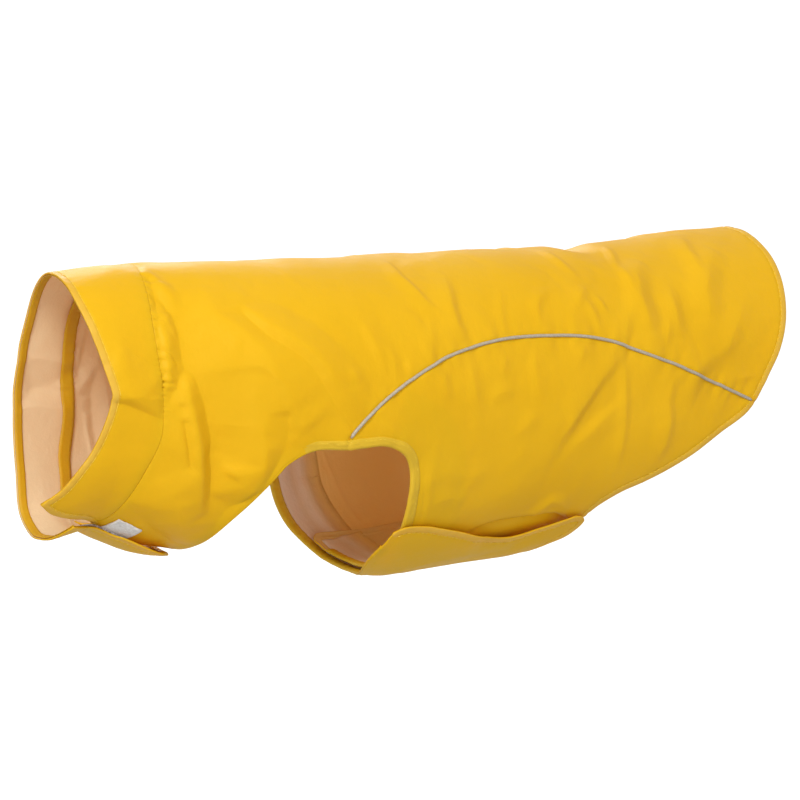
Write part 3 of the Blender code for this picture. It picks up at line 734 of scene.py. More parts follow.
def cloth_piece(name, edges, lift, outer, inner, hem, spacing=2.3):
    """Lined cloth cut to its outline and wrapped round the body, every edge finished its way."""
    outline, middle = closed_outline(edges)
    border = border_points(outline, middle, (0.5, 1.1, 2.2, 3.2, 3.8, 4.4, 5.0, 6.0))
    cells = cell_points(outline, spacing, 6.0 + 0.6 * spacing)
    creased = within(CREASE_POINTS, outline, 6.8)
    cells = cells[apart(cells, creased, 1.25)]
    pattern = np.vstack([outline, border, creased, cells])
    ring = [(i, (i + 1) % len(outline)) for i in range(len(outline))]
    cut = delaunay_2d_cdt([Vector(point) for point in pattern], ring, [], 1, 1e-6)
    pattern = np.array([tuple(point) for point in cut[0]])
    out = np.full(len(pattern), WALL)
    turned_in = np.full(len(pattern), 1e9)
    raw = np.full(len(pattern), 1e9)
    to_hem = np.full(len(pattern), 1e9)
    for line, _, finish in edges:
        away, run, _ = from_line(pattern, line)
        out += finish(away, run)
        nearest = turned_in if finish is seamed else raw
        np.minimum(nearest, away, out=nearest)
        if finish is hemmed:
            np.minimum(to_hem, away, out=to_hem)
    points, normal = wrapped(pattern, lift)
    outside = (points + out[:, None] * normal) * MM
    inside = (points + (out - CLOTH)[:, None] * normal) * MM
    under = len(pattern)
    faces = np.array(cut[2])
    ends = np.concatenate([faces[:, [0, 1]], faces[:, [1, 2]], faces[:, [2, 0]]])
    _, first, count = np.unique(np.sort(ends, axis=1), axis=0, return_index=True,
                                return_counts=True)
    rim = ends[first[count == 1]]
    rim_faces = np.stack([rim[:, 0], rim[:, 1], rim[:, 1] + under, rim[:, 0] + under], axis=1)
    in_seam = (turned_in[rim] < raw[rim]).all(axis=1)
    piece = new_piece(
        name, np.vstack([outside, inside]),
        faces[:, ::-1].tolist() + (faces + under).tolist() + rim_faces.tolist(),
        outer, inner, hem)
    # Outside, the hem bands take the hem cloth, painted paler as a sheen.
    in_hem = (to_hem[faces] < HEM_WIDTH - 0.3).all(axis=1)
    slots = np.concatenate([np.where(in_hem, 2, 0), np.ones(len(faces), int),
                            np.where(in_seam, 1, 0)])
    piece.data.polygons.foreach_set("material_index", slots)
    lay_cut(piece.data, np.vstack([pattern, pattern]))
    return piece


def new_material(name, color, roughness):
    """A Principled material; returns it, its tree and its shader."""
    material = bpy.data.materials.new(name)
    material.use_nodes = True
    shader = material.node_tree.nodes["Principled BSDF"]
    shader.inputs["Base Color"].default_value = (*color, 1)
    shader.inputs["Roughness"].default_value = roughness
    return material, material.node_tree, shader


def noise(tree, where, scale, detail, rough=0.5):
    """Noise from 0 to 1; the scale is in cells to the metre."""
    node = tree.nodes.new("ShaderNodeTexNoise")
    node.inputs["Scale"].default_value = scale
    node.inputs["Detail"].default_value = detail
    node.inputs["Roughness"].default_value = rough
    tree.links.new(where, node.inputs["Vector"])
    return node.outputs["Fac"]


def ramp(tree, factor, stops):
    """Colour ramp of (position, colour) stops."""
    node = tree.nodes.new("ShaderNodeValToRGB")
    while len(node.color_ramp.elements) < len(stops):
        node.color_ramp.elements.new(1)
    for element, (position, color) in zip(node.color_ramp.elements, stops):
        element.position = position
        element.color = (*color, 1)
    tree.links.new(factor, node.inputs["Fac"])
    return node.outputs["Color"]


def spread(tree, factor, low, high):
    """The factor stretched to run from low to high."""
    node = tree.nodes.new("ShaderNodeMapRange")
    node.inputs["From Min"].default_value = 0.25
    node.inputs["From Max"].default_value = 0.75
    node.inputs["To Min"].default_value = low
    node.inputs["To Max"].default_value = high
    tree.links.new(factor, node.inputs["Value"])
    return node.outputs["Result"]


def bump(tree, shader, layers):
    """Bumps of (height output, distance in metres) laid over each other."""
    normal = None
    for height, distance in layers:
        node = tree.nodes.new("ShaderNodeBump")
        node.inputs["Distance"].default_value = distance
        tree.links.new(height, node.inputs["Height"])
        if normal:
            tree.links.new(normal, node.inputs["Normal"])
        normal = node.outputs["Normal"]
    tree.links.new(normal, shader.inputs["Normal"])


def weave(tree, threads):
    """Plain weave over the pattern map, `threads` to the decimetre each way."""
    where = tree.nodes.new("ShaderNodeUVMap")
    where.uv_map = "cut"
    rows = []
    for axis in ("X", "Y"):
        node = tree.nodes.new("ShaderNodeTexWave")
        node.bands_direction = axis
        node.inputs["Scale"].default_value = threads * 2 * math.pi / 20
        node.inputs["Distortion"].default_value = 0.6
        node.inputs["Detail"].default_value = 1
        tree.links.new(where.outputs["UV"], node.inputs["Vector"])
        rows.append(node.outputs["Fac"])
    crossed = tree.nodes.new("ShaderNodeMath")
    crossed.operation = "MULTIPLY"
    tree.links.new(rows[0], crossed.inputs[0])
    tree.links.new(rows[1], crossed.inputs[1])
    return crossed.outputs["Value"]


def let_light_through(tree, shader, color, share=0.3):
    """Thin cloth passes a share of the light that falls on its far side."""
    glow = tree.nodes.new("ShaderNodeBsdfTranslucent")
    glow.inputs["Color"].default_value = (*color, 1)
    both = tree.nodes.new("ShaderNodeMixShader")
    both.inputs["Fac"].default_value = share
    tree.links.new(shader.outputs["BSDF"], both.inputs[1])
    tree.links.new(glow.outputs["BSDF"], both.inputs[2])
    tree.links.new(both.outputs["Shader"], tree.nodes["Material Output"].inputs["Surface"])


def object_place(tree):
    """Where a point lies on its piece, in metres."""
    return tree.nodes.new("ShaderNodeTexCoord").outputs["Object"]


def cloth_material(name, color, roughness, mottle, gloss, bumps, glow=None, share=0.3,
                   threads=190):
    """Cloth whose noises are (scale, detail, rough): mottle adds its colour stops, gloss its lowest
    and highest roughness, and each bump its depth in metres. The glow is light that comes through.
    """
    material, tree, shader = new_material(name, color, roughness)
    where = object_place(tree)
    *grain, stops = mottle
    tree.links.new(ramp(tree, noise(tree, where, *grain), stops), shader.inputs["Base Color"])
    *grain, low, high = gloss
    tree.links.new(spread(tree, noise(tree, where, *grain), low, high),
                   shader.inputs["Roughness"])
    if glow:
        let_light_through(tree, shader, glow, share)
    layers = [(noise(tree, where, *grain), depth) for *grain, depth in bumps]
    if threads:
        layers.append((weave(tree, threads), 0.00004))
    bump(tree, shader, layers)
    return material, shader


coated_cloth, shader = cloth_material(
    "coated_cloth", (0.88, 0.55, 0.010), 0.42,
    (9, 4, 0.6, ((0.25, (0.84, 0.518, 0.007)), (0.5, (0.88, 0.550, 0.010)),
                 (0.75, (0.91, 0.575, 0.014)))),
    (26, 5, 0.6, 0.36, 0.52), ((34, 6, 0.55, 0.0011), (150, 4, 0.6, 0.00022)),
    (0.95, 0.48, 0.01))
shader.inputs["Specular IOR Level"].default_value = 0.3
shader.inputs["Specular Tint"].default_value = (1.0, 0.85, 0.45, 1)

# The hem cloth is the coated cloth painted paler and less saturated: a painted sheen along the
# hems.
hem_sheen_cloth, _ = cloth_material(
    "hem_sheen_cloth", (0.86, 0.55, 0.04), 0.5,
    (40, 4, 0.6, ((0.3, (0.82, 0.51, 0.028)), (0.55, (0.86, 0.55, 0.040)),
                  (0.75, (0.90, 0.60, 0.062)))),
    (60, 4, 0.5, 0.42, 0.6), ((120, 5, 0.6, 0.0007),), (0.95, 0.48, 0.01))

LINING_GLOSS = (30, 4, 0.5, 0.42, 0.62)
LINING_BUMPS = ((40, 6, 0.6, 0.0013), (170, 4, 0.6, 0.00025))
peach_lining, _ = cloth_material(
    "peach_lining", (0.91, 0.79, 0.50), 0.55,
    (12, 4, 0.6, ((0.3, (0.88, 0.74, 0.46)), (0.55, (0.91, 0.79, 0.50)),
                  (0.75, (0.94, 0.83, 0.55)))),
    LINING_GLOSS, LINING_BUMPS, (0.95, 0.52, 0.14))

half_gap = 0.03             # between two panels at a seam
left_seam = curve_through(LEFT_COLLAR_SEAM, LEFT, 1.1)
right_seam = curve_through(RIGHT_COLLAR_SEAM, RIGHT, 1.1)
right_run = np.linalg.norm(np.diff(right_seam, axis=0), axis=1).sum()
back_edges = [
    (left_seam, half_gap, gathered_from(0)),
    (curve_through(LEFT_FRONT_END, LEFT), 0.0, hemmed),
    (curve_through(LEFT_CHEST_START, LEFT), 0.0, rolled),
    (curve_through(CHEST_EDGE, LEFT), 0.0, rolled),
    (curve_through(PIPING_SEAM, LEFT), half_gap, seamed),
    (curve_through(TAIL_HEM, LEFT)[::-1], 0.0, hemmed),
    (curve_through(TAIL_HEM, RIGHT), 0.0, hemmed),
    (curve_through(PIPING_SEAM, RIGHT)[::-1], half_gap, seamed),
    (curve_through(CHEST_EDGE, RIGHT)[::-1], 0.0, rolled),
    (curve_through(RIGHT_CHEST_START, RIGHT)[::-1], 0.0, rolled),
    (curve_through(RIGHT_FRONT_END, RIGHT)[::-1], 0.0, hemmed),
    (curve_through(RIGHT_THROAT_SEAM, RIGHT)[::-1], half_gap, seamed),
    (right_seam[::-1], half_gap, gathered_from(right_run)),
]
back_panel = finished(
    cloth_piece("back_cloth", back_edges, fronts_lift, coated_cloth, peach_lining, hem_sheen_cloth),
    "coated_cloth", "back_panel")


# ---------------------------------------------------------------------------------------------
# Side panels: side and belly flap in one cut each, seamed under the back along the piping. The
# right flap laps outside the left one and closes on it; hems at the rear, binding at the leg.

# The side panels' lining is the peach lining painted golden and less blue: a painted shade, the
# orange cast of the coat's dim inside.
shaded_side_lining, _ = cloth_material(
    "shaded_side_lining", (0.86, 0.67, 0.25), 0.55,
    (12, 4, 0.6, ((0.3, (0.83, 0.63, 0.22)), (0.55, (0.86, 0.67, 0.25)),
                  (0.75, (0.89, 0.71, 0.29)))),
    LINING_GLOSS, LINING_BUMPS, (0.95, 0.50, 0.05))

LEFT_LEG_REAR_EDGE = ((49, 103), (61, 101.5), (76, 100.5), (88, 104), (94, 111), (96, 126))
RIGHT_LEG_REAR_EDGE = ((49, 103), (60, 101.5), (73, 101), (82, 105), (87, 114), (87.5, 125))
SIDE_HEM = (
    (357.5, 98), (350, 103), (342, 106.5), (329, 111), (306, 120), (277, 128.5), (256, 133),
    (244, 138), (237, 145),
)
LEFT_FLAP_FRONT = ((96, 126), (97, 137), (99, 148), (103, 162), (106, 178), (104, 195), (101, 206))
LEFT_FLAP_END = ((101, 206), (106, 210), (160, 210), (208, 209), (215, 205))
LEFT_FLAP_REAR = ((215, 205), (218, 192), (220, 180), (224, 165), (230, 153), (237, 145))
RIGHT_FLAP_FRONT = (
    (87.5, 125), (88.5, 131), (90.5, 137), (93.5, 143), (97.5, 149), (102, 157), (106, 166),
    (106, 175), (101, 184), (93, 193), (87, 201), (85, 209), (89, 222.5),
)
RIGHT_FLAP_END = (
    (89, 222.5), (96, 225), (112, 225.2), (121, 224), (141, 220.5), (160, 216), (181, 212.5),
    (202, 215), (225, 219), (231, 218.5),
)
RIGHT_FLAP_REAR = (
    (231, 218.5), (235.5, 216), (234, 210.5), (229, 206.5), (222, 203), (217, 194), (217, 180),
    (222, 165), (230, 153), (237, 145),
)

# The left panel sinks in beside the end of the right flap: station, angle where it starts.
POCKET = (
    (140, 145), (154, 141), (169, 139), (188, 138.7), (202, 138.5), (211, 139), (220, 141.5),
    (229, 145.5), (236, 149),
)
POCKET_DEPTH = 3.6


def left_lift(station, girth):
    """The left panel sinks in beside the end of the right flap."""
    angle = girth / GIRTH_PER_DEGREE
    depth = (angle - between(POCKET, station)) * GIRTH_PER_DEGREE
    inside = ease(station, 138, 172) * (1 - ease(station, 226, 238))
    return -POCKET_DEPTH * inside * (ease(depth, -0.8, 2.6) - 0.45 * ease(depth, 3, 12))


def bound(away, run):
    """Pinched flat inside its binding."""
    return -0.25 * (1 - ease(away, 4.5, 7.0))


SIDES = (
    (LEFT, "left", left_lift,
     (LEFT_LEG_REAR_EDGE, LEFT_FLAP_FRONT, LEFT_FLAP_END, LEFT_FLAP_REAR)),
    (RIGHT, "right", right_lift,
     (RIGHT_LEG_REAR_EDGE, RIGHT_FLAP_FRONT, RIGHT_FLAP_END, RIGHT_FLAP_REAR)),
)
for side, word, lift, (leg_edge, flap_front, flap_end, flap_rear) in SIDES:
    side_edges = [
        (curve_through(leg_edge, side), 0.0, bound),
        (curve_through(flap_front, side), 0.0, bound),
        (curve_through(flap_end, side), 0.0, hemmed),
        (curve_through(flap_rear, side), 0.0, hemmed),
        (curve_through(SIDE_HEM, side)[::-1], 0.0, hemmed),
        (curve_through(PIPING_SEAM, side)[::-1], half_gap, seamed),
    ]
    finished(
        cloth_piece(f"side_cloth_{word}", side_edges, lift, coated_cloth, shaded_side_lining, hem_sheen_cloth),
        "coated_cloth", f"side_panel_{word}")


# ---------------------------------------------------------------------------------------------
# Collar: stand-up band of the same cloth, seamed to the gathered back and open at the throat.
# Its edges are turned in and stitched, so a yellow strip shows all along the inside.

COLLAR_EDGE = (
    (-131, 147), (-121, 140), (-111, 127.5), (-105, 119), (-99, 104.5), (-95, 87), (-97, 73),
    (-102, 48), (-106, 24), (-103, 2), (-98, -18), (-95.5, -40), (-97, -64), (-100, -94),
    (-102, -124), (-106, -150), (-109, -165), (-112, -176), (-112.5, -186), (-110, -195),
    (-106, -201),
)
COLLAR_LEFT_END = (
    (-85.5, 169), (-97, 160.8), (-108, 156.8), (-116, 154.6), (-123, 152.2), (-131, 147),
)
COLLAR_RIGHT_END = ((-106, -201), (-99, -197.5), (-92, -194.5))
collar_edges = [
    (curve_through(COLLAR_LEFT_END), 0.0, hemmed),
    (curve_through(COLLAR_EDGE), 0.0, hemmed),
    (curve_through(COLLAR_RIGHT_END), 0.0, hemmed),
    (curve_through(RIGHT_THROAT_SEAM, RIGHT)[::-1], half_gap, seamed),
    (right_seam[::-1], half_gap, gathered_from(right_run)),
    (left_seam, half_gap, gathered_from(0)),
]
collar = finished(
    cloth_piece("collar_cloth", collar_edges, fronts_lift, coated_cloth, peach_lining, hem_sheen_cloth,
                2.0),
    "coated_cloth", "collar")


# ---------------------------------------------------------------------------------------------
# Turned hems and the seam tape: strips of the yellow cloth that show on the lining side. They
# lie flat, the hems 5.6 mm wide and the tape 8.2 mm, and stitching draws them up a little.

TURNING_WIDTH, TURNING_WALL = 5.6, 0.35
TAPE_WALL = 0.6


def skin(rows, across, closed=False):
    """Faces between rows of points, each with so many points across."""
    return [(i * across + j, i * across + (j + 1) % across,
             (i + 1) * across + (j + 1) % across, (i + 1) * across + j)
            for i in range(rows - 1) for j in range(across if closed else across - 1)]


def thicken(piece, wall):
    """Gives a sheet its thickness, outward."""
    shell = piece.modifiers.new("Thickness", "SOLIDIFY")
    shell.thickness = wall * MM
    shell.offset = 1.0


def strip(name, line, profile, lift, wall, *materials):
    """A strip along a pattern line. The profile is (distance to the left, out) points across it."""
    run = run_along(line)
    rows, maps = [], []
    for across, out in profile:
        height = out(run) if callable(out) else np.full(len(line), out)
        across = np.full(len(line), across)
        rows.append(place(line + across[:, None] * left_of(line), lift, height))
        maps.append(np.stack([run, across], axis=-1))
    piece = new_piece(name, np.stack(rows, axis=1).reshape(-1, 3),
                      skin(len(line), len(profile)), *materials)
    lay_cut(piece.data, np.stack(maps, axis=1).reshape(-1, 2))
    thicken(piece, wall)
    return piece


def drawn_up(out, height, pitch, phase):
    """A distance out that waves along the strip, as stitching draws it up."""
    def at(run):
        return out + height * np.sin(2 * math.pi * (run + 1.4 * np.sin(run / 5.7)) / pitch + phase)
    return at


turned_edge, _ = cloth_material(
    "turned_edge", (0.74, 0.45, 0.008), 0.5,
    (14, 4, 0.6, ((0.3, (0.68, 0.40, 0.006)), (0.7, (0.78, 0.48, 0.010)))),
    (40, 4, 0.5, 0.42, 0.6), ((90, 5, 0.6, 0.0005),), (0.95, 0.48, 0.01))

inner_face = WALL - CLOTH
collar_rim = joined(curve_through(COLLAR_LEFT_END), curve_through(COLLAR_EDGE),
                    curve_through(COLLAR_RIGHT_END))
tail_rim = joined(curve_through(TAIL_HEM, RIGHT)[::-1], curve_through(TAIL_HEM, LEFT))
TURNINGS = (
    ("collar_turning", fronts_lift, collar_rim),
    ("tail_turning", level, tail_rim[3:-3]),
    ("left_side_turning", left_lift, curve_through(SIDE_HEM, LEFT)[2:-2]),
    ("right_side_turning", right_lift, curve_through(SIDE_HEM, RIGHT)[2:-2][::-1]),
)
for name, lift, line in TURNINGS:
    under = drawn_up(inner_face - 0.45, 0.07, 6.4, 0.5)
    across = tuple((-a, under) for a in (0.25, 2.4, 4.6, TURNING_WIDTH))
    piece = strip(name, line[::-1], across, lift, TURNING_WALL, turned_edge)
    finished(piece, "coated_cloth")

tape_under = drawn_up(inner_face - 1.35, 0.10, 7.1, 0.0)
seam_tape = strip(
    "seam_tape", COLLAR_LINE[1:-1][::-1],
    tuple((a, tape_under) for a in (3.0, 1.2, -1.0, -3.2, -5.2)),
    fronts_lift, TAPE_WALL, turned_edge)
finished(seam_tape, "tape", "collar_seam_tape")


# ---------------------------------------------------------------------------------------------
# Piping: reflective film wrapped round a thin cord and caught in each arc seam. It stands proud
# of the cloth and shows a warm grey.

PIPING_RADIUS = 1.0
PIPING_HEIGHT = WALL + 0.35     # the cord's middle, over the cloth's inner face

reflective_film, _ = cloth_material(
    "reflective_film", (0.42, 0.36, 0.27), 0.5,
    (900, 2, 0.5, ((0.35, (0.37, 0.32, 0.24)), (0.55, (0.42, 0.36, 0.27)),
                   (0.72, (0.48, 0.42, 0.33)))),
    (120, 3, 0.5, 0.4, 0.6), ((260, 3, 0.5, 0.00010),), threads=0)


def tube_faces(rows, across):
    """Faces of a tube with both ends shut."""
    last = (rows - 1) * across
    return skin(rows, across, closed=True) + [
        tuple(range(across))[::-1], tuple(range(last, last + across))]


for side, word, _, _ in SIDES:
    line = curve_through(PIPING_SEAM, side)[4:-2]
    run = np.arange(len(line)) * 2.0
    centre = place(line, level, np.full(len(line), PIPING_HEIGHT) + 0.03 * np.sin(run / 6.1))
    outer = place(line, level, np.full(len(line), PIPING_HEIGHT + 2.1))
    ahead = np.gradient(centre, axis=0)
    ahead /= np.linalg.norm(ahead, axis=1, keepdims=True)
    up = outer - centre
    up -= (up * ahead).sum(axis=1, keepdims=True) * ahead
    up /= np.linalg.norm(up, axis=1, keepdims=True)
    across = np.cross(ahead, up)
    radius = PIPING_RADIUS * MM * (1 + 0.03 * np.sin(run / 7.3) * np.sin(run / 19.1))
    radius[[0, -1]] *= 0.55
    turn = np.linspace(0, 2 * math.pi, 14, endpoint=False)
    points = centre[:, None] + radius[:, None, None] * (
        np.cos(turn)[:, None] * across[:, None] + np.sin(turn)[:, None] * up[:, None])
    piece = new_piece(f"piping_cord_{word}", points.reshape(-1, 3),
                      tube_faces(len(line), len(turn)), reflective_film)
    finished(piece, "reflective_piping", f"piping_{word}")


# ---------------------------------------------------------------------------------------------
# Leg bindings: bias tape folded over the raw edge of each leg opening and stitched through, from
# the throat to the end of the belly flap. The curve makes it pucker.

BINDING_WIDTH = 5.6

binding_cloth, _ = cloth_material(
    "binding_cloth", (0.78, 0.50, 0.012), 0.5,
    (30, 4, 0.6, ((0.3, (0.73, 0.46, 0.010)), (0.7, (0.82, 0.535, 0.016)))),
    (60, 4, 0.5, 0.4, 0.6), ((110, 5, 0.6, 0.0006),), (0.95, 0.55, 0.01), 0.2)

# A strip laid on the lining along the leg openings, pressed into ridges. Its colour is painted
# light and shade:
# pale where light comes in through the leg opening, deepening across it to a painted brown shade
# where the lining takes over.
lining_light_strip, tree, shader = new_material("lining_light_strip", (0.93, 0.80, 0.62), 0.6)
where = object_place(tree)
across = tree.nodes.new("ShaderNodeUVMap")
across.uv_map = "cut"
parts = tree.nodes.new("ShaderNodeSeparateXYZ")
tree.links.new(across.outputs["UV"], parts.inputs["Vector"])
uneven = tree.nodes.new("ShaderNodeMath")
uneven.operation = "MULTIPLY_ADD"
uneven.inputs[1].default_value = 0.03
tree.links.new(noise(tree, where, 30, 3, 0.6), uneven.inputs[0])
tree.links.new(parts.outputs["Y"], uneven.inputs[2])
wide = tree.nodes.new("ShaderNodeMapRange")
wide.inputs["From Min"].default_value = -0.035
wide.inputs["From Max"].default_value = -0.38
tree.links.new(uneven.outputs["Value"], wide.inputs["Value"])
# Painted light and shade: pale near the leg opening, brown where the shade falls further in.
shade = ramp(tree, wide.outputs["Result"], (
    (0.0, (0.94, 0.83, 0.66)), (0.25, (0.93, 0.80, 0.62)), (0.36, (0.86, 0.70, 0.47)),
    (0.47, (0.93, 0.80, 0.60)), (0.60, (0.94, 0.79, 0.52)), (0.72, (0.90, 0.67, 0.30)),
    (0.86, (0.92, 0.67, 0.22)), (0.93, (0.95, 0.70, 0.23)), (1.0, (0.95, 0.69, 0.20))))
tree.links.new(shade, shader.inputs["Base Color"])
tree.links.new(spread(tree, noise(tree, where, 45, 4), 0.5, 0.7), shader.inputs["Roughness"])
let_light_through(tree, shader, (0.95, 0.52, 0.14))
bump(tree, shader, ((noise(tree, where, 90, 5, 0.6), 0.0010), (weave(tree, 190), 0.00004)))

LIGHT_STRIP_END = 205            # angle at which the painted strip stops, on the flap
# Across the strip: distance from the leg opening's edge, and height over the lining.
LIGHT_STRIP_RIDGES = (
    (5.0, 0.0), (8.0, -0.5), (12.5, -0.5), (15.5, 0.0), (18.5, -0.5), (22.5, -1.0),
    (25.5, -0.6), (28.5, 0.0), (31.5, 0.0), (34.5, 0.05), (38.5, 0.2),
)
leg_bindings, lining_light_strips, binding_lines = {}, [], {}
for side, word, lift, (leg_edge, flap_front, _, _) in SIDES:
    chest_start = LEFT_CHEST_START if side == LEFT else RIGHT_CHEST_START
    line = joined(*(curve_through(rows, side, 1.3)
                    for rows in (chest_start, CHEST_EDGE, leg_edge, flap_front)))[5:-9]
    if side == LEFT:
        line = line[::-1]
    # The outer layer shows from behind the chest as far as the flap, where it's tucked in.
    tucked = ease(np.abs(line[:, 1]) / GIRTH_PER_DEGREE, 180, 188)
    behind = ease(line[:, 0], 16, 40) * (1 - tucked)

    def proud(rise, height, pitch, phase):
        """The outer layer's height, which sinks into the cloth where it doesn't show."""
        wave = drawn_up(0, height, pitch, phase)
        return lambda run: WALL - 0.65 + behind * (0.75 + rise + wave(run))

    inside = -0.35
    profile = (
        (BINDING_WIDTH, drawn_up(inside + 0.35, 0.14, 4.4, 0.4)),
        (4.6, drawn_up(inside, 0.12, 4.4, 0.4)),
        (2.4, drawn_up(inside - 0.15, 0.32, 4.4, 0.0)),
        (0.2, drawn_up(inside, 0.18, 4.4, 0.0)),
        (-0.55 + tucked, 0.2), (-0.75 + tucked, WALL / 2),
        (-0.50 + tucked, lambda run: WALL - 0.55 + 0.30 * behind),
        (0.2, proud(0.05, 0.08, 9.1, 1.0)),
        (1.1, proud(0.30, 0.14, 17.3, 1.0)),
        (1.9, proud(0.02, 0.08, 9.1, 1.0)),
        (2.7, proud(0.26, 0.14, 14.1, 2.2)),
        (3.3, proud(0.12, 0.10, 11.1, 1.2)),
        (3.8, proud(0.04, 0.05, 5.1, 1.4)),
        (4.6, proud(0.06, 0.08, 12.1, 1.4)),
        (5.2, proud(-0.22, 0.10, 9.1, 0.4)),
        (BINDING_WIDTH, proud(-0.75, 0.06, 5.1, 1.4)),
    )
    piece = strip(f"binding_{word}", line, profile, lift, 0.35, binding_cloth, coated_cloth)
    binding_lines[word] = line[behind > 0.6]
    fronts = np.repeat(behind[:-1] < 0.3, len(profile) - 1)
    piece.data.polygons.foreach_set("material_index", fronts.astype(int))
    leg_bindings[word] = finished(piece, "binding", f"leg_binding_{word}")

    strip_line = joined(curve_through(leg_edge[2:], side, 1.6), curve_through(flap_front, side, 1.6))
    strip_line = strip_line[np.abs(strip_line[:, 1]) < LIGHT_STRIP_END * GIRTH_PER_DEGREE]
    if side == RIGHT:
        strip_line = strip_line[::-1]
    rows = tuple((-a, drawn_up(inner_face - 0.15 + o, 0.05, 5.1, a)) for a, o in LIGHT_STRIP_RIDGES)
    lining_light_strips.append(finished(
        strip(f"lining_light_strip_{word}", strip_line, rows, lift, 0.15, lining_light_strip), "coated_cloth"))


# ---------------------------------------------------------------------------------------------
# Hook-and-loop patches: soft looped tape outside the left ends and stiff hook tape inside the
# right ends, at the throat and at the belly. Each is sewn to its end of cloth.

loop_tape, tree, shader = new_material("loop_tape", (0.80, 0.77, 0.73), 0.9)
where = object_place(tree)
shade = ramp(tree, noise(tree, where, 500, 4, 0.7), (
    (0.3, (0.62, 0.58, 0.54)), (0.6, (0.84, 0.81, 0.77))))
tree.links.new(shade, shader.inputs["Base Color"])
shader.inputs["Sheen Weight"].default_value = 0.4
bump(tree, shader, ((noise(tree, where, 700, 4, 0.7), 0.0009),))

hook_tape, tree, shader = new_material("hook_tape", (0.60, 0.55, 0.56), 0.55)
where = object_place(tree)
cells = tree.nodes.new("ShaderNodeTexVoronoi")
cells.inputs["Scale"].default_value = 800
tree.links.new(where, cells.inputs["Vector"])
shade = ramp(tree, cells.outputs["Distance"], (
    (0.15, (0.74, 0.69, 0.69)), (0.6, (0.46, 0.41, 0.42))))
tree.links.new(shade, shader.inputs["Base Color"])
bump(tree, shader, ((cells.outputs["Distance"], 0.0008),))


def patch_point(middle, turn, a, d):
    """Pattern point at (a, d) from the patch's middle, turned by so many degrees."""
    turned = math.radians(turn)
    return (middle[0] + a * math.cos(turned) - d * math.sin(turned),
            middle[1] * GIRTH_PER_DEGREE + a * math.sin(turned) + d * math.cos(turned))


PATCH_STEP, PATCH_WALL = 1.5, 0.75
# Name, slot, material, middle as station and angle, length and width, turn, lift, height out.
PATCHES = (
    ("neck_loop", "loop_fastener", loop_tape, (-70.5, 165), (17, 20), 15, left_lift, WALL + 0.3),
    ("neck_hook", "hook_fastener", hook_tape, (-83, -190.3), (42, 8), 4, fronts_lift, -1.4),
    ("belly_loop", "loop_fastener", loop_tape, (152, 167), (70, 26), 0, left_lift, WALL + 0.3),
    ("belly_hook", "hook_fastener", hook_tape, (152, -207), (76, 14), 4, right_lift, -1.4),
)
for word, slot, material, middle, (length, width), turn, lift, out in PATCHES:
    columns, rows = 2 + round(length / PATCH_STEP), 2 + round(width / PATCH_STEP)
    grid = [patch_point(middle, turn, a, d)
            for a in np.linspace(-0.5, 0.5, columns) * length
            for d in np.linspace(-0.5, 0.5, rows) * width]
    piece = new_piece(f"{word}_tape", place(grid, lift, np.full(len(grid), out)),
                      skin(columns, rows), material)
    thicken(piece, PATCH_WALL)
    finished(piece, slot, f"{word}_patch")


# ---------------------------------------------------------------------------------------------
# Stitching: lockstitch in yellow polyester thread along the hems and the leg bindings. Each
# stitch is a short length of thread that dips into the cloth at both ends.

THREAD_RADIUS = 0.21
STITCH_PITCH = 3.1
STITCH_LENGTH = 2.5
# Along a stitch, in lengths; how thick it is there, in radii; and how far out, in millimetres.
STITCH_SHAPE = (
    (-0.5, 0.35, -0.16), (-0.34, 0.95, 0.02), (0.0, 1.0, 0.06), (0.34, 0.95, 0.02),
    (0.5, 0.35, -0.16),
)

thread, tree, shader = new_material("thread", (0.88, 0.58, 0.03), 0.5)
where = object_place(tree)
shade = ramp(tree, noise(tree, where, 400, 3), (
    (0.3, (0.76, 0.47, 0.014)), (0.7, (0.93, 0.64, 0.05))))
tree.links.new(shade, shader.inputs["Base Color"])
bump(tree, shader, ((noise(tree, where, 1500, 2), 0.0001),))


def inset(line, depth):
    """The line moved to its left by the depth, without the loops this makes in tight corners."""
    moved = line + depth * left_of(line)
    away, _, _ = from_line(moved, line)
    return moved[away > 0.97 * abs(depth)]


def stitches(name, rows):
    """One piece with all the stitches along (pattern line, lift, out) rows."""
    points, faces = [], []
    ring = np.linspace(0, 2 * math.pi, 6, endpoint=False)
    stitch_faces = tube_faces(len(STITCH_SHAPE), len(ring))
    for line, lift, out in rows:
        run = run_along(line)
        middles = np.arange(STITCH_PITCH, run[-1] - STITCH_PITCH, STITCH_PITCH)
        heights = np.full(len(middles), out)
        spots, nexts = points_at(middles, run, line), points_at(middles + 0.8, run, line)
        centre = place(spots, lift, heights)
        ahead = place(nexts, lift, heights) - centre
        ahead /= np.linalg.norm(ahead, axis=1, keepdims=True)
        up = place(spots, lift, heights + 1.0) - centre
        up /= np.linalg.norm(up, axis=1, keepdims=True)
        across = np.cross(ahead, up)
        for i in range(len(middles)):
            first = len(points)
            for along, wide, rise in STITCH_SHAPE:
                middle = centre[i] + MM * (along * STITCH_LENGTH * ahead[i] + rise * up[i])
                for turn in ring:
                    points.append(middle + MM * THREAD_RADIUS * wide * (
                        math.cos(turn) * across[i] + math.sin(turn) * up[i]))
            faces += [tuple(first + corner for corner in face) for face in stitch_faces]
    return finished(new_piece(name, points, faces, thread), "coated_cloth")


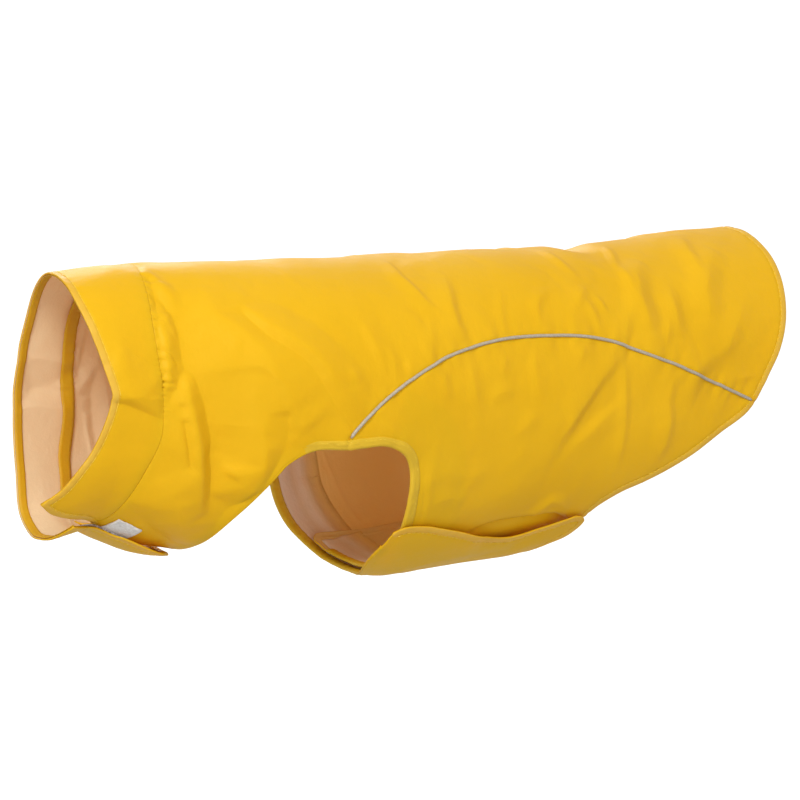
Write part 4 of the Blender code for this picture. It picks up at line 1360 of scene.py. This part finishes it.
on_hem = WALL - 0.06
on_binding = WALL + 0.30
BINDING_STITCH = 3.8        # from the leg edge to the binding's stitches
stitch_pieces = [
    stitches("collar_stitching", [(inset(collar_rim, HEM_WIDTH), fronts_lift, on_hem)]),
    stitches("tail_stitching", [(inset(tail_rim, HEM_WIDTH), level, on_hem)]),
    stitches("side_hem_stitching", [
        (inset(curve_through(SIDE_HEM, LEFT), HEM_WIDTH), left_lift, on_hem),
        (inset(curve_through(SIDE_HEM, RIGHT), -HEM_WIDTH), right_lift, on_hem),
    ]),
    stitches("front_stitching", [
        (inset(curve_through(LEFT_FRONT_END, LEFT), -HEM_WIDTH), fronts_lift, on_hem),
        (inset(curve_through(RIGHT_FRONT_END, RIGHT), HEM_WIDTH), fronts_lift, on_hem),
    ]),
    stitches("flap_stitching", [
        (inset(joined(curve_through(LEFT_FLAP_END), curve_through(LEFT_FLAP_REAR)), -HEM_WIDTH),
         left_lift, on_hem),
        (inset(joined(curve_through(RIGHT_FLAP_END, RIGHT), curve_through(RIGHT_FLAP_REAR, RIGHT)),
               HEM_WIDTH), right_lift, on_hem),
    ]),
    stitches("binding_stitching", [
        (inset(binding_lines["left"], BINDING_STITCH), left_lift, on_binding),
        (inset(binding_lines["right"], BINDING_STITCH), right_lift, on_binding),
    ]),
]


# ---------------------------------------------------------------------------------------------
# Studio: a white bowl of paper far round the coat, broad soft lamps, and the camera.

FLOOR = -0.45
BOWL = ((0.0, 0.0), (3.0, 0.0), (4.2, 0.12), (5.0, 0.6), (5.4, 1.5), (5.5, 3.0), (5.0, 5.2),
        (3.4, 6.6), (0.0, 7.0))     # radius and height over the floor, in metres
BOWL_STEPS = 64
paper, _, shader = new_material("paper", (0.35, 0.35, 0.35), 0.9)
shader.inputs["Emission Color"].default_value = (1, 1, 1, 1)
shader.inputs["Emission Strength"].default_value = 0.85
turns = [2 * math.pi * i / BOWL_STEPS for i in range(BOWL_STEPS)]
paper_bowl = new_piece(
    "paper_bowl",
    [(r * math.cos(turn), r * math.sin(turn), FLOOR + z) for r, z in BOWL for turn in turns],
    skin(len(BOWL), BOWL_STEPS, closed=True), paper)
paper_bowl.data.shade_smooth()
paper_bowl.visible_diffuse = False
paper_bowl.visible_glossy = False
paper_bowl.visible_transmission = False
paper_bowl.visible_shadow = False

world = bpy.data.worlds.new("studio")
bpy.context.scene.world = world
world.use_nodes = True
world.node_tree.nodes["Background"].inputs["Color"].default_value = (1, 1, 1, 1)
world.node_tree.nodes["Background"].inputs["Strength"].default_value = 0.65

# Name, place, width in metres and power in watts.
LAMPS = (
    ("key", (-1.5, -1.5, 1.6), 0.9, 50),
    ("rear", (0.8, 2.0, 1.2), 1.2, 24),
    ("front", (-2.0, -0.9, 0.1), 1.0, 1.5),
    ("low", (-0.7, -2.0, -0.35), 0.8, 5),
)
LAMP_TARGET = Vector((0.13, 0.0, -0.08))
for name, position, size, power in LAMPS:
    lamp = bpy.data.lights.new(name, "AREA")
    lamp.shape = "DISK"
    lamp.size = size
    lamp.energy = power
    holder = bpy.data.objects.new(name, lamp)
    holder.location = position
    holder.rotation_mode = "QUATERNION"
    holder.rotation_quaternion = (LAMP_TARGET - Vector(position)).to_track_quat("-Z", "Y")
    bpy.context.scene.collection.objects.link(holder)

bpy.context.scene.view_settings.view_transform = "Standard"

CAMERA_TARGET = Vector((0.13684957, 0.0, -0.0855444))
azimuth, elevation, distance = math.radians(-35), math.radians(5), 2.3
camera_data = bpy.data.cameras.new("camera")
camera_data.lens = 172.2
camera_data.sensor_width = 36.0
camera_data.clip_start, camera_data.clip_end = 0.05, 50.0
camera = bpy.data.objects.new("camera", camera_data)
back = Vector((math.sin(azimuth) * math.cos(elevation), -math.cos(azimuth) * math.cos(elevation),
               math.sin(elevation)))
camera.location = CAMERA_TARGET + distance * back
camera.rotation_mode = "QUATERNION"
camera.rotation_quaternion = (-back).to_track_quat("-Z", "Y")
bpy.context.scene.collection.objects.link(camera)
bpy.context.scene.camera = camera
